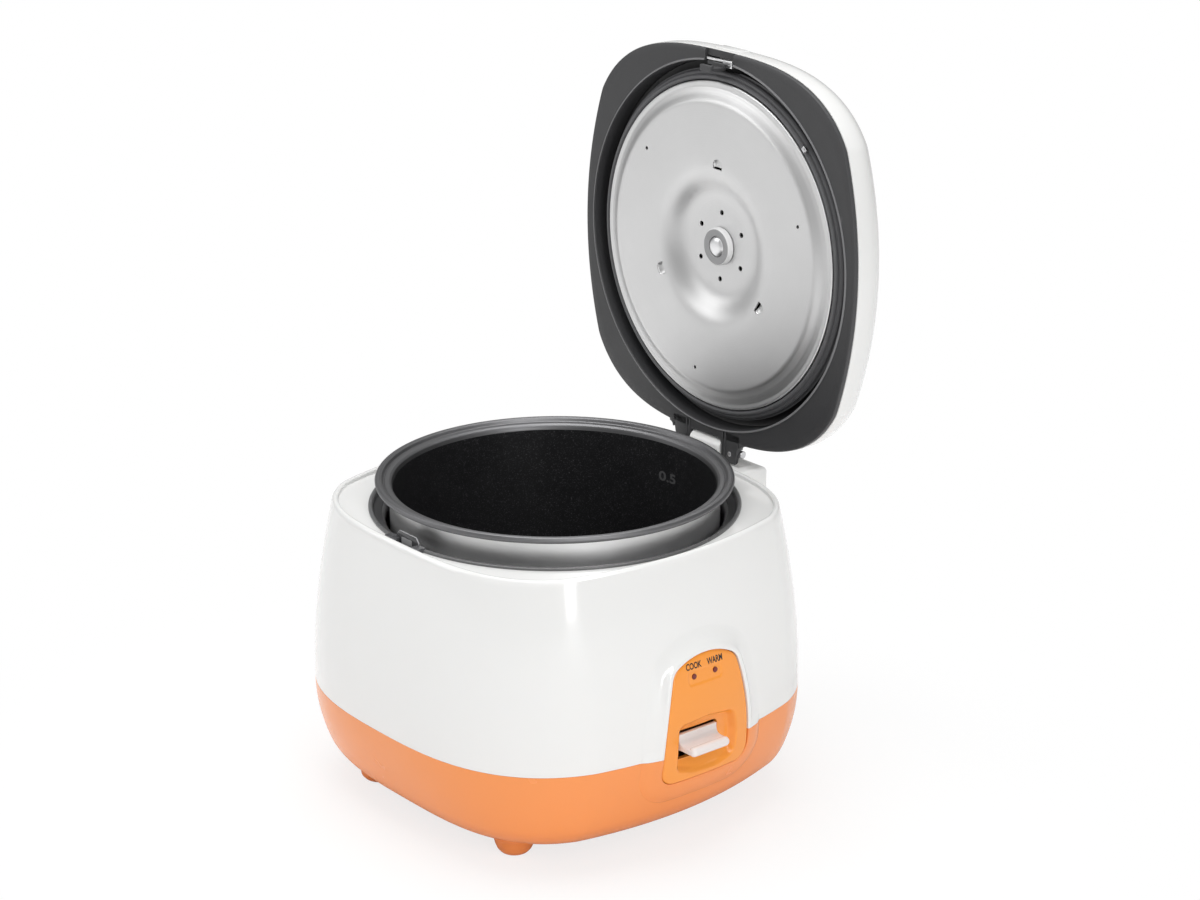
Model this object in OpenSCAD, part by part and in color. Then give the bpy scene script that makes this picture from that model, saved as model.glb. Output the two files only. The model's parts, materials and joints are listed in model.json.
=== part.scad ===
// Rice cooker with a hinged lid, a lift-out pot and a cook / warm switch.
// Millimetres. Origin on the pot axis at the level that the feet stand on.
// +Z is up, -Y is the control panel side, -X the latch side, +X the hinge side.
// The lid is drawn closed and then turned open about its hinge pin.

/* [Body] */
// Half width of the body at its widest level
belly_half = 110.6; // [106:0.2:116]
// Height of the widest level
belly_z = 62; // [58:1:70]
// Half width of the body at its top lip
top_half = 97.3; // [97:0.1:100]
// Height of the top lip
lip_z = 151.5; // [148:0.5:158]
// Height of the underside above the table, which is the height of the feet
floor_z = 10; // [8:0.5:14]
// Height of the line between the white shell and the coloured base
split_z = 56.5; // [50:0.5:62]
// Half width of the flat underside
foot_half = 83; // [78:0.5:90]
// Squareness of the outline at the top: 2 is a circle, more is squarer
top_power = 3.3; // [3:0.1:3.6]
// Squareness of the outline at the widest level
belly_power = 2.85; // [2.6:0.05:3.2]
// Half width of the front and rear facets between their creases
crease_x = 66; // [58:1:70]
// How far the middle of a facet stands proud of the outline
facet_rise = 1.2; // [0.6:0.1:2]
// Wall of the moulded shells
wall = 2.4; // [2:0.1:3]
// Width of the thin lip round the deck
lip_w = 2.4; // [2:0.1:2.6]
// Depth of the deck below the lip
deck_drop = 2.2; // [1.6:0.1:3]
// Distance of the feet from the middle, along X
foot_x = 70.5; // [62:0.5:74]
// Distance of the feet from the middle, along Y
foot_y = 52.5; // [46:0.5:60]
// Radius of a foot where it stands
foot_r = 4.4; // [3:0.2:6]

/* [Pot] */
// Inner radius of the pot
pot_r = 80.5; // [76:0.5:81]
// Wall of the pot
pot_wall = 1.6; // [1.2:0.1:2]
// Outer radius of the rolled rim
rim_r = 89.3; // [88.5:0.1:89.8]
// Height of the pot from its bottom to its rim
pot_h = 103; // [94:1:104]
// How far the thermostat spring lifts the empty pot
pot_float = 12; // [8:0.5:12]
// How far the pot lifts in its lift-out travel
pot_lift = 130; // [110:5:160]

/* [Lid] */
// Half width of the lid shell
lid_half = 100.4; // [99.8:0.1:101.4]
// Gap between the closed lid and the lip
lid_gap = 0.6; // [0.5:0.1:1]
// Height of the straight side of the lid shell
lid_side = 6; // [4:0.5:8]
// Radius of the lid shoulder
lid_round = 20; // [16:1:22]
// Rise of the lid crown above the shoulder
lid_crown = 8; // [5:0.5:12]
// Wall of the lid shell
lid_wall = 2.2; // [1.8:0.1:2.6]
// Opening angle of the lid
lid_open = 91; // [80:1:92]
// Hinge pin centre, along X
hinge_x = 106; // [105:0.5:108]
// Hinge pin centre above the lip
hinge_rise = 4.4; // [4:0.2:5.4]
// Radius of the hinge pin
pin_r = 2; // [1.6:0.1:2.4]
// Radius of the eye at the end of a lid arm
arm_r = 6; // [5.4:0.1:6.4]
// Inner side of each lid arm
arm_in = 12; // [11:0.5:13]
// Width of each lid arm
arm_w = 14; // [10:0.5:15]
// Radius of the detachable inner lid plate
plate_r = 84.3; // [83:0.1:84.6]

/* [Panel] */
// Half width of the panel at its foot
panel_foot = 27.5; // [24:0.5:28]
// Half width of the panel at its head
panel_head = 18; // [17:0.5:21]
// Height of the foot of the panel
panel_low = 40.8; // [40:0.2:44]
// Height of the head of the panel
panel_top = 104; // [99:0.5:106]
// Distance of the panel's middle to the right of the body's middle
panel_x = 2.8; // [0:0.2:4]
// Radius of the panel's corners
panel_corner = 8; // [5:0.5:10]
// How far the panel stands proud of the body
panel_proud = 2.6; // [2.2:0.1:3.2]
// Left edge of the switch window
key_left = -15.2; // [-17:0.2:-14]
// Right edge of the switch window
key_right = 11.4; // [10:0.1:12]
// Radius of a lamp lens
lamp_r = 1.3; // [1:0.1:1.6]

/* [Switch] */
// Pivot of the switch arm, along Y
pivot_y = -48; // [-52:1:-44]
// Travel of the switch, in degrees
switch_deg = 5.5; // [4:0.5:6]

/* [Clearances] */
// Gap between faces of separate pieces
gap = 0.3; // [0.2:0.05:0.5]
// Radial gap of a running fit
fit = 0.05; // [0.02:0.01:0.1]

/* [Hidden] */
$fn = 96;
SIDE_STEPS = 22;
FACET_STEPS = 10;

deck_z = lip_z - deck_drop;
deck_t = 2.2;
lid_z = lip_z + lid_gap;
collar_r = rim_r + 3.4;
deck_r = collar_r - 1.5;
pot_out = pot_r + pot_wall;
collar_in = pot_out + 2.5;
can_r = collar_in + 0.8;
can_wall = 0.7;
rim_low = lid_z + 0.4;
rim_z = rim_low + pot_float;
pot_z = rim_z - pot_h;
plate_z = rim_low + 0.9;
seal_z = rim_low + gap;
heat_top = pot_z - pot_float - gap;
heat_t = 11;
can_z = heat_top - heat_t - 7;
cap_r = 16;
cup_r = 13.5;
guide_r = cap_r + 1.2;
hinge_z = lip_z + hinge_rise;
pan_z = plate_z + 9;
pan_r = rim_r + 5.2;
base_n = 3.3;
round_z = floor_z + 16;
post_r = 68;
post_angles = [60, 180, 300];
heater_r = 53;
heater_angles = [55, 85];
seat_z = floor_z + 8;
collar_low = deck_z - 5.2;

function half_up(z) = belly_half - (belly_half - top_half) * pow((z - belly_z) / (lip_z - belly_z), 1.55);
function edge_round(z) = z < round_z ? 1 - sqrt(max(0, 1 - pow((round_z - z) / (round_z - floor_z), 2))) : 0;
function draft(z) = pow((belly_z - z) / (belly_z - floor_z), 2);
function half_low(z) = belly_half - (belly_half - foot_half) * (0.57 * draft(z) + 0.43 * edge_round(z));
function half_at(z) = z >= belly_z ? half_up(z) : half_low(z);
function up_share(z) = (z - belly_z) / (lip_z - belly_z);
function low_share(z) = (belly_z - z) / (belly_z - floor_z);
function power_at(z) = z >= belly_z
  ? belly_power + (top_power - belly_power) * up_share(z)
  : belly_power + (base_n - belly_power) * low_share(z);

// One outline of the body: rounded sides, and a bowed facet between two creases at front and rear
function polar(a, n, t) = pow(pow(abs(cos(t)) / a, n) + pow(abs(sin(t)) / a, n), -1 / n);
function facet_y(a, n, f, x, xf) = let (yf = a * pow(1 - pow(xf / a, n), 1 / n))
  yf + (a + f - yf) * (1 - pow(x / xf, 2));
function outline(a, n, f) = let (
    xf = min(crease_x, 0.68 * a),
    yf = a * pow(1 - pow(xf / a, n), 1 / n),
    tf = atan2(yf, xf)
  ) concat(
    [for (i = [0:SIDE_STEPS]) let (t = tf * (2 * i / SIDE_STEPS - 1)) polar(a, n, t) * [cos(t), sin(t)]],
    [for (i = [1:FACET_STEPS - 1]) let (x = xf * (1 - 2 * i / FACET_STEPS)) [x, facet_y(a, n, f, x, xf)]],
    [for (i = [0:SIDE_STEPS]) let (t = tf * (2 * i / SIDE_STEPS - 1)) -polar(a, n, t) * [cos(t), sin(t)]],
    [for (i = [1:FACET_STEPS - 1]) let (x = xf * (2 * i / FACET_STEPS - 1)) [x, -facet_y(a, n, f, x, xf)]]
  );
function at_z(points, z) = [for (p = points) [p.x, p.y, z]];
function round_as(points, r) = [for (p = points) r * p / norm(p)];
function body_ring(z, inset = 0) = at_z(outline(half_at(z) - inset, power_at(z), facet_rise), z);
function steps(low, high, n) = [for (i = [0:n]) low + (high - low) * i / n];

// Skin over a list of rings: outer rings run upwards, inner rings run downwards
module skin(rings, loop = false) {
  n = len(rings[0]);
  m = len(rings);
  last = loop ? m - 1 : m - 2;
  sides = [
    for (i = [0:last], j = [0:n - 1])
      let (a = i * n + j, b = i * n + (j + 1) % n, k = ((i + 1) % m) * n, c = k + (j + 1) % n, d = k + j)
        each [[a, c, b], [a, d, c]]
  ];
  caps = loop ? [] : [[for (j = [0:n - 1]) j], [for (j = [n - 1:-1:0]) (m - 1) * n + j]];
  polyhedron(points = [for (ring = rings) each ring], faces = concat(sides, caps));
}

// Round wire wound about Z from height 0
module coil(r, wire, pitch, turns) {
  seg = 14;
  lean = atan2(pitch, 2 * PI * r);
  skin([
    for (i = [0:seg * turns])
      let (a = 360 * i / seg, out = [cos(a), sin(a), 0])
      let (up = [sin(a) * sin(lean), -cos(a) * sin(lean), cos(lean)])
        [for (k = [0:5]) r * out + [0, 0, pitch * i / seg] + wire * (cos(60 * k) * out - sin(60 * k) * up)]
  ]);
}

module along_x(x0, x1, r) {
  translate([x0, 0, 0]) rotate([0, 90, 0]) cylinder(h = x1 - x0, r = r);
}

module along_y(y0, y1, r) {
  translate([0, y1, 0]) rotate([90, 0, 0]) cylinder(h = y1 - y0, r = r);
}

module block(low, high) {
  translate(low) cube(high - low);
}

// Places lid pieces, which are drawn closed, in the open rest position
module opened() {
  translate([hinge_x, 0, hinge_z]) rotate([0, lid_open, 0]) translate([-hinge_x, 0, -hinge_z]) children();
}

module at_hinge() {
  translate([hinge_x, 0, hinge_z]) children();
}

// ---- Body ----

module foot(x, y) {
  r = foot_r;
  translate([x, y, 0]) rotate_extrude($fn = 48) polygon([
    [0, 0], [r, 0], [r + 2.2, 0.9], [r + 3.9, 2.6], [r + 5.1, 5.2], [r + 5.9, 8.4],
    [r + 6, floor_z + 1.2], [0, floor_z + 1.2]
  ]);
}

module base_shell() {
  low = steps(floor_z, round_z, 4);
  high = steps(round_z, split_z - gap, 4);
  rim = split_z - gap;
  step_in = wall + gap;
  color("sandybrown") difference() {
    union() {
      skin(concat(
        [body_ring(floor_z, 0)],
        [for (z = [low[1], low[2], low[3], each high]) body_ring(z)],
        [at_z(outline(half_at(rim) - step_in, power_at(rim), facet_rise), rim)],
        [at_z(outline(half_at(rim) - step_in, power_at(rim), facet_rise), rim + 3)],
        [at_z(outline(half_at(rim) - step_in - 1.4, power_at(rim), facet_rise), rim + 3)],
        [for (z = [high[3], high[2], high[1], high[0], low[2]]) body_ring(z, wall)],
        [at_z(outline(foot_half, base_n, facet_rise), floor_z + wall)]
      ));
      for (x = [-foot_x, foot_x], y = [-foot_y, foot_y]) foot(x, y);
      for (a = post_angles) rotate(a) translate([post_r, 0, floor_z + 1])
        cylinder(h = can_z - floor_z - 1.1, r = 5);
    }
    for (a = post_angles) rotate(a) translate([post_r, 0, -1]) {
      cylinder(h = seat_z + 1, r = 3.8);
      cylinder(h = can_z + 2, r = 1.8);
    }
    for (i = [-3:3]) translate([0, 9 * i, floor_z]) block([22, -1.5, -1], [52, 1.5, wall + 1]);
    translate([0, 0, cord_z]) along_x(half_at(cord_z) - 10, half_at(cord_z) + 4, 6);
    key_window(split_z + 9);
    panel_pocket();
  }
}

// Window through the front wall behind the panel, up to a given height
module key_window(top) {
  block([key_left - 1.5, -belly_half - 8, key_low - 2], [key_right + 1.5, -belly_half + 12, top]);
}

key_low = panel_low + 10.9;
key_high = key_low + 15.5;

module outer_shell() {
  up = steps(split_z, lip_z - 0.6, 9);
  down = [for (i = [8:-1:1]) up[i]];
  top_a = half_at(lip_z);
  inside = outline(top_a - lip_w, top_power, facet_rise);
  under = deck_z - deck_t;
  color("white") difference() {
    union() {
      skin(concat(
        [for (z = up) body_ring(z)],
        [at_z(outline(top_a - 0.6, top_power, facet_rise), lip_z)],
        [at_z(outline(top_a - lip_w + 0.4, top_power, facet_rise), lip_z)],
        [at_z(inside, lip_z - 0.4), at_z(inside, deck_z)],
        [at_z(round_as(inside, deck_r), deck_z), at_z(round_as(inside, deck_r), under)],
        [body_ring(under, wall)],
        [for (z = down) if (z < under - 1) body_ring(z, wall)],
        [body_ring(split_z, wall)]
      ), true);
      panel_surround();
      hinge_housing();
    }
    panel_pocket();
    key_window(key_high + 2);
    for (x = lamp_x) translate([x, 0, lamp_z]) along_y(-belly_half - 8, -belly_half + 12, 3.4);
    at_hinge() hinge_clearance();
    translate([hinge_x - 14, 0, lip_z - 2.6]) for (s = [-1, 1]) translate([0, s * arm_mid, 0])
      block([0, -arm_w / 2 - 0.6, 1], [10, arm_w / 2 + 0.6, 6]);
    catch_notch();
  }
}

arm_mid = arm_in + arm_w / 2;
lamp_x = [-5.3, 8];
lamp_z = panel_top - 10;

// Face of the panel: a band turned about an upright axis, bowed both ways
panel_mid = (panel_low + panel_top) / 2 - 4;
bow_x = 215;
bow_z = 155;
panel_face = half_at(panel_mid) + facet_rise + panel_proud;

module panel_band(out, deep) {
  translate([0, bow_x - panel_face, 0]) rotate(-104) rotate_extrude(angle = 28)
    intersection() {
      translate([bow_x - bow_z, panel_mid]) difference() {
        circle(r = bow_z + out, $fn = 240);
        circle(r = bow_z - deep, $fn = 240);
      }
      translate([bow_x - 30, panel_low - 6]) square([40, panel_top - panel_low + 12]);
    }
}

// Half width of the panel at share s of its height
function panel_half(s) = panel_foot - (panel_foot - panel_head) * pow(s, 2.2);

// Outline of the panel seen from the front, grown by g: bulging sides under a crowned head
module panel_shape(g) {
  tall = panel_top - panel_low;
  crown = 1.95 * panel_head;
  side = [for (s = steps(0, 1, 16)) [panel_half(s), panel_low + s * tall]];
  other = [for (i = [16:-1:0]) [-side[i].x, side[i].y]];
  translate([panel_x, 0])
  offset(r = panel_corner + g, $fn = 64) offset(delta = -panel_corner)
  intersection() {
    polygon(concat(side, other));
    translate([0, panel_top - crown]) circle(r = crown + 0.01, $fn = 120);
  }
}

module panel_prism(g) {
  translate([0, -belly_half + 16, 0]) rotate([90, 0, 0]) linear_extrude(32) panel_shape(g);
}

module panel_surround() {
  intersection() {
    panel_prism(3);
    panel_band(0.4, 4.6);
    block([-60, -belly_half - 20, split_z], [60, -belly_half + 12, panel_top + 12]);
  }
}

module panel_pocket() {
  intersection() {
    panel_prism(gap);
    panel_band(3, 2.6);
  }
  translate([0, -panel_face + 3.8, 0]) rotate([90, 0, 0]) linear_extrude(12) scoop_shape(1.5);
}

// ---- Hinge ----

module hinge_housing() {
  low = deck_z - 38;
  back = hinge_x + 9;
  top = hinge_z - 5.4;
  edge = [for (z = steps(low, top, 6)) [half_at(min(z, lip_z)) - 1.2, z]];
  translate([0, arm_in + arm_w + 5, 0]) rotate([90, 0, 0])
    linear_extrude(2 * (arm_in + arm_w + 5))
      polygon(concat(edge, [[back - 2, top], [back, top - 2], [back, top - 12]]));
  at_hinge() {
    along_y(-arm_in + 0.6, -4.8, arm_r - 0.4);
    along_y(4.8, arm_in - 0.6, arm_r - 0.4);
  }
  for (s = [-1, 1]) translate([hinge_x, s * (arm_in + 4.2) / 2, 0])
    block([-4.5, -(arm_in - 5.4) / 2, top - 1], [4.5, (arm_in - 5.4) / 2, hinge_z]);
}

module hinge_clearance() {
  along_y(-60, 60, pin_r);
  for (s = [-1, 1]) translate([0, s * arm_mid, 0]) along_y(-arm_w / 2 - 0.6, arm_w / 2 + 0.6, arm_r + 0.8);
  along_y(-4.8, 4.8, 5.6);
}

module hinge_pin() {
  color("silver") at_hinge() union() {
    along_y(-arm_in - arm_w - 1.5, arm_in + arm_w + 1.5, pin_r);
    along_y(arm_in + arm_w + 0.3, arm_in + arm_w + 1.5, pin_r + 1);
  }
}

module hinge_spring() {
  color("dimgray") at_hinge() rotate([90, 0, 0]) translate([0, 0, -3.9]) coil(3.2, 0.55, 1.3, 6);
}

// ---- Collar and catch ----

module collar_ring() {
  c = collar_r;
  z = deck_z;
  color("dimgray") difference() {
    rotate_extrude($fn = 180) polygon([
      [c, z + 0.1], [c, z + 0.8], [c - 0.6, z + 1.3], [c - 1.5, z + 1.3], [c - 2.1, z + 0.7],
      [c - 2.3, z - 0.9], [c - 2.8, z - 1.7], [c - 3.6, z - 2.1],
      [collar_in + 0.6, z - 4.2], [collar_in, collar_low],
      [collar_in, collar_low - 3], [collar_in + 1.2, collar_low - 3], [collar_in + 1.2, collar_low - 0.4],
      [c - 3.4, z - 3.8], [c - 1.8, z - 2.4], [c - 1.8, z + 0.1]
    ]);
    catch_notch();
  }
}

catch_half = 13.5;
catch_out = 1.8;

// Space that the catch takes out of the collar and the deck
module catch_notch() {
  translate([-collar_r, 0, 0])
    block([-catch_out - 0.6, -catch_half - gap, deck_z - 6], [5.6, catch_half + gap, deck_z + 6]);
}

// Two ears on either side of an eight-cornered notch, with the keeper edge at its foot
module latch_catch() {
  h = catch_half;
  low = deck_z - 3.9;
  color("dimgray") translate([-collar_r, 0, 0]) difference() {
    union() {
      block([-catch_out, -h, low], [2.6, h, deck_z + 1.6]);
      for (s = [-1, 1]) translate([0, s * (h - 2.5), 0])
        block([-catch_out, -2.5, deck_z], [2.6, 2.5, deck_z + 2.6]);
    }
    translate([0, 0, deck_z + 1.8]) rotate([90, 0, 90]) translate([0, 0, -catch_out + 1.4]) linear_extrude(12)
      polygon([[-5, 3], [-6.6, 0.6], [-6.6, -2.2], [-5.4, -8], [5.4, -8], [6.6, -2.2], [6.6, 0.6], [5, 3]]);
    block([-6, -5, deck_z - 0.4], [-catch_out + 1.5, 5, deck_z + 9]);
  }
}

// ---- Heating ----

module inner_can() {
  r = can_r;
  t = can_wall;
  top = collar_low - 3 - gap;
  color("silver") difference() {
    rotate_extrude($fn = 180) polygon([
      [cup_r, can_z], [r - 5, can_z], [r + t, can_z + 5 + t], [r + t, top - t], [r + 3, top - t],
      [r + 3, top], [r, top], [r, can_z + 5.4], [r - 5.4, can_z + t], [cup_r, can_z + t]
    ]);
    for (a = post_angles) rotate(a) translate([post_r, 0, can_z - 1]) cylinder(h = 4, r = 1.8);
    for (a = heater_angles) rotate(a) translate([heater_r, 0, can_z - 1]) cylinder(h = 4, r = 3.2);
  }
}

module heating_plate() {
  z = heat_top - heat_t;
  color("gainsboro") difference() {
    union() {
      rotate_extrude($fn = 120) polygon([
        [guide_r + 1.6, z], [46, z], [46, z - 3], [60, z - 3], [60, z], [66, z + 2], [70, z + 5],
        [71, heat_top - 1.4], [69.4, heat_top], [guide_r + 1.6, heat_top]
      ]);
      for (a = [0, 120, 240]) rotate(a) translate([53, 0, can_z + can_wall + gap])
        cylinder(h = z - can_z - can_wall - gap, r = 4);
    }
    for (r = [30, 42, 54]) translate([0, 0, heat_top - 0.6])
      rotate_extrude() translate([r, 0]) square([1.2, 1]);
  }
}

module heater_posts() {
  color("ivory") for (a = heater_angles) rotate(a) translate([heater_r, 0, 0]) union() {
    translate([0, 0, can_z - 3]) cylinder(h = heat_top - heat_t - 3 - gap - can_z + 3, r = 2.6);
    translate([0, 0, can_z - 8]) cylinder(h = 6, r = 1.1);
  }
}

// Cup that the thermostat spring stands in
module thermostat_guide() {
  low = can_z + can_wall + 0.1;
  r = guide_r;
  color("silver") rotate_extrude() polygon([
    [2.5, low], [r + 5, low], [r + 5, low + 0.8], [r + 1, low + 0.8],
    [r + 1, heat_top - 3], [r, heat_top - 3],
    [r, low + 0.8], [2.5, low + 0.8]
  ]);
}

module thermostat_cap() {
  top = pot_z - gap;
  low = can_z + can_wall + 0.9 + gap + pot_float;
  color("silver") rotate_extrude() polygon([
    [0, top - 2], [0, top], [cap_r - 1, top], [cap_r, top - 1], [cap_r, top - 3], [cup_r + 1, top - 3],
    [cup_r + 1, low], [cup_r, low], [cup_r, top - 2]
  ]);
}

module ferrite_disc() {
  color("darkslategray") translate([0, 0, pot_z - gap - 2 - gap - 4]) cylinder(h = 4, r = 8);
}

module thermostat_spring() {
  low = can_z + can_wall + 0.9 + 0.6 + 0.1;
  high = pot_z - gap - 3 - 0.6 - 0.1;
  color("silver") translate([0, 0, low]) coil(cup_r + 2.2, 0.6, (high - low) / 6, 6);
}

module magnet_rod() {
  low = can_z + can_wall + 0.9 + gap;
  top = low + 4.9;
  foot = arm_z - 3;
  color("dimgray") union() {
    translate([0, 0, foot]) cylinder(h = top - foot, r = 2);
    translate([0, 0, low]) cylinder(h = top - low, r = 8);
    translate([0, 0, arm_z + 1 + gap]) cylinder(h = 1.4, r = 4.2);
  }
}

// ---- Switch ----

arm_z = can_z - 9;
pivot_z = arm_z + 3.6;
arm_half = 5;
arm_end = -can_r - can_wall - 3.6;

module switch_bracket() {
  color("silver") difference() {
    union() {
      block([-11, pivot_y - 6, can_z - 1.3], [11, pivot_y + 6, can_z - gap]);
      for (s = [-1, 1])
        block([s * 7.4 - 0.6, pivot_y - 5, pivot_z - 3.4], [s * 7.4 + 0.6, pivot_y + 5, can_z - 1]);
    }
    translate([0, pivot_y, pivot_z]) along_x(-20, 20, 1.5);
  }
}

module switch_pin() {
  color("silver") translate([0, pivot_y, pivot_z]) union() {
    along_x(-8.6, 8.6, 1.5);
    along_x(8.3, 9.3, 2.3);
  }
}

module switch_arm() {
  color("darkgray") difference() {
    union() {
      block([-arm_half, arm_end, arm_z - 1], [arm_half, 5, arm_z + 1]);
      for (s = [-1, 1])
        block([s * 5.6 - 0.6, pivot_y - 4, arm_z - 1], [s * 5.6 + 0.6, pivot_y + 4, pivot_z + 2.6]);
    }
    translate([0, pivot_y, pivot_z]) along_x(-20, 20, 1.5 + fit);
    block([-2.6, -4, arm_z - 3], [2.6, 8, arm_z + 3]);
  }
}

// White key: web up from the arm, shelf, back plate in the window, and a paddle with a round lip
module switch_key() {
  left = key_left + 0.9;
  right = key_right - 2.2;
  face = -panel_face + 2.2;
  low = key_low + 6.7;
  high = key_high - 1.2;
  mid = low + 1.2;
  lip = 2.4;
  web = arm_half + 1;
  color("mistyrose") union() {
    block([-web, arm_end, arm_z + 1.1], [web, arm_end + 2.2, low + 4]);
    block([-web, arm_end, arm_z + 1.1], [web, arm_end + 9, arm_z + 2.6]);
    block([-web, face + 1, low + 1.6], [web, arm_end + 1, low + 4]);
    block([left, face, low], [right, face + 2, high]);
    block([left, face - 8, mid - 1.2], [right, face + 1, mid + 1.2]);
    translate([0, face - 8, mid]) along_x(left, right, lip);
  }
}

module contact_block() {
  color("ivory") difference() {
    block([7.5, pivot_y - 34, floor_z + wall + 0.2], [17.5, pivot_y - 16, arm_z + 4]);
    block([6.5, pivot_y - 32, arm_z - 5], [15.5, pivot_y - 18, arm_z + 2.6]);
  }
}

// ---- Control panel ----

module control_panel() {
  color("orange") difference() {
    intersection() {
      panel_prism(0);
      panel_band(0, 2.3);
    }
    scoop();
    block([key_left, -belly_half - 20, key_low], [key_right, -belly_half + 12, key_high]);
    for (x = lamp_x) translate([x, 0, lamp_z]) along_y(-belly_half - 12, -belly_half + 12, lamp_r + fit);
    lamp_recess();
  }
  color("orange") scoop_walls();
}

// Dished recess round the switch window
module scoop_shape(g) {
  hull() {
    translate([key_left + 5.4, key_low - 1.2]) circle(r = 4.6 + g, $fn = 32);
    translate([key_left + 5.2, key_high - 1]) circle(r = 4.2 + g, $fn = 32);
    translate([key_right - 9.9, key_high - 0.8]) circle(r = 5.2 + g, $fn = 32);
    translate([key_right + 2.4, key_high - 2]) circle(r = 5 + g, $fn = 32);
    translate([key_right + 0.9, key_low]) circle(r = 8 + g, $fn = 32);
  }
}

module scoop() {
  translate([0, -panel_face + 2, 0]) rotate([90, 0, 0]) linear_extrude(12) scoop_shape(0);
}

module scoop_walls() {
  difference() {
    intersection() {
      translate([0, -panel_face + 3.4, 0]) rotate([90, 0, 0]) linear_extrude(12) scoop_shape(1.2);
      panel_band(-0.2, 3.6);
    }
    scoop();
    block([key_left, -belly_half - 20, key_low], [key_right, -belly_half + 12, key_high]);
  }
}

module lamp_recess() {
  translate([0, -panel_face + pow(lamp_z - panel_mid, 2) / (2 * bow_z) + 0.35, 0])
    block([-9, -6, lamp_z - 3.6], [12, 0, lamp_z + 3.6]);
}

module lens(x) {
  translate([x, 0, lamp_z]) along_y(-panel_face + 2.2, -panel_face + 6, lamp_r);
}

module cook_lamp_lens() {
  color("darkred") lens(lamp_x[0]);
}

module warm_lamp_lens() {
  color("darkred") lens(lamp_x[1]);
}

module lamp_board() {
  y = 1 - half_at(lamp_z + 6) - facet_rise + wall;
  color("darkgreen") union() {
    block([-12, y, lamp_z - 8], [15, y + 1.4, lamp_z + 6]);
    for (x = lamp_x) translate([x, 0, lamp_z]) along_y(-panel_face + 6.3, y + 1, 2.4);
  }
}

// ---- Electrical ----

module terminal_block() {
  color("ivory") difference() {
    block([66, -18, floor_z + wall + 0.2], [80, 8, floor_z + wall + 11]);
    for (y = [-14, -5, 4]) translate([0, y, floor_z + wall + 6]) along_x(60, 90, 2.2);
  }
}

module thermal_fuse() {
  color("white") translate([can_r + can_wall + 3, 0, 70]) cylinder(h = 26, r = 2.4);
  color("white") block([can_r + can_wall + 0.3, -4, 78], [can_r + can_wall + 3, 4, 88]);
}

cord_z = 28;

module cord_gland() {
  face = half_at(cord_z);
  color("dimgray") translate([0, 0, cord_z]) difference() {
    union() {
      along_x(face - 9, face + 8, 5.7);
      along_x(face + 2.9, face + 4.5, 8);
      along_x(face - 9, face - 7.4, 7);
    }
    along_x(face - 12, face + 12, 3.6);
  }
}

module base_screws() {
  color("silver") for (a = post_angles) rotate(a) translate([post_r, 0, 0]) union() {
    translate([0, 0, seat_z - 2.4]) cylinder(h = 2.3, r = 3.2);
    translate([0, 0, seat_z - 1]) cylinder(h = can_z + can_wall + 3 - seat_z, r = 1.6);
  }
}

// ---- Pot ----

module inner_pot() {
  r = pot_r;
  w = pot_wall;
  z = rim_z;
  b = pot_z;
  k = 14;
  corner = [for (t = steps(0, 90, 8)) [r - k + k * sin(t), b + w + k - k * cos(t)]];
  outer = [for (t = steps(90, 0, 8)) [r - k + (k + w) * sin(t), b + w + k - (k + w) * cos(t)]];
  color("gray") rotate_extrude($fn = 180) polygon(concat(
    [[0, b + w]], corner,
    [[r, z - 4], [r + 0.8, z - 1.9], [r + 2.4, z - 1.2], [r + 4.4, z - 1.1], [r + 5.4, z - 0.1]],
    [[rim_r - 1.2, z], [rim_r - 0.3, z - 0.5], [rim_r, z - 1.6]],
    [[rim_r - 0.4, z - 2.8], [rim_r - 1.6, z - 3.3]],
    [[rim_r - 2.4, z - 2.6], [r + 4.6, z - 2.6], [r + 3, z - 3], [r + w, z - 5]],
    outer, [[0, b]]
  ));
}

// ---- Lid: all drawn closed ----

function lid_ring(a, z, f = facet_rise) = at_z(outline(a, 3.1, f * a / lid_half), z);

module lid_skin() {
  z0 = lid_z + 2.6;
  z1 = z0 + lid_side;
  r = lid_round;
  top_a = lid_half - r;
  t = lid_wall;
  arc = steps(0, 90, 6);
  crown = [0.8, 0.55, 0.28, 0.04];
  function outer_arc(p) = lid_ring(lid_half - r * (1 - cos(p)), z1 + r * sin(p) * 0.96);
  function inner_arc(p) = lid_ring(lid_half - r + (r - t) * cos(p), z1 + (r - t) * sin(p) * 0.96);
  function rise(s) = lid_crown * (1 - s * s) + 0.96 * r;
  skin(concat(
    [for (s = [0.04, 0.28, 0.55, 0.8]) lid_ring(top_a * s, z1 + rise(s) - t)],
    [for (p = [90, 75, 60, 45, 30, 15, 0]) inner_arc(p)],
    [lid_ring(lid_half - t, z0), lid_ring(lid_half, z0)],
    [for (p = arc) outer_arc(p)],
    [for (s = crown) lid_ring(top_a * s, z1 + rise(s))]
  ));
}

steam_x = 34;
steam_r = 10;
lid_top = lid_z + 2.6 + lid_side + 0.96 * lid_round + lid_crown;

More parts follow.
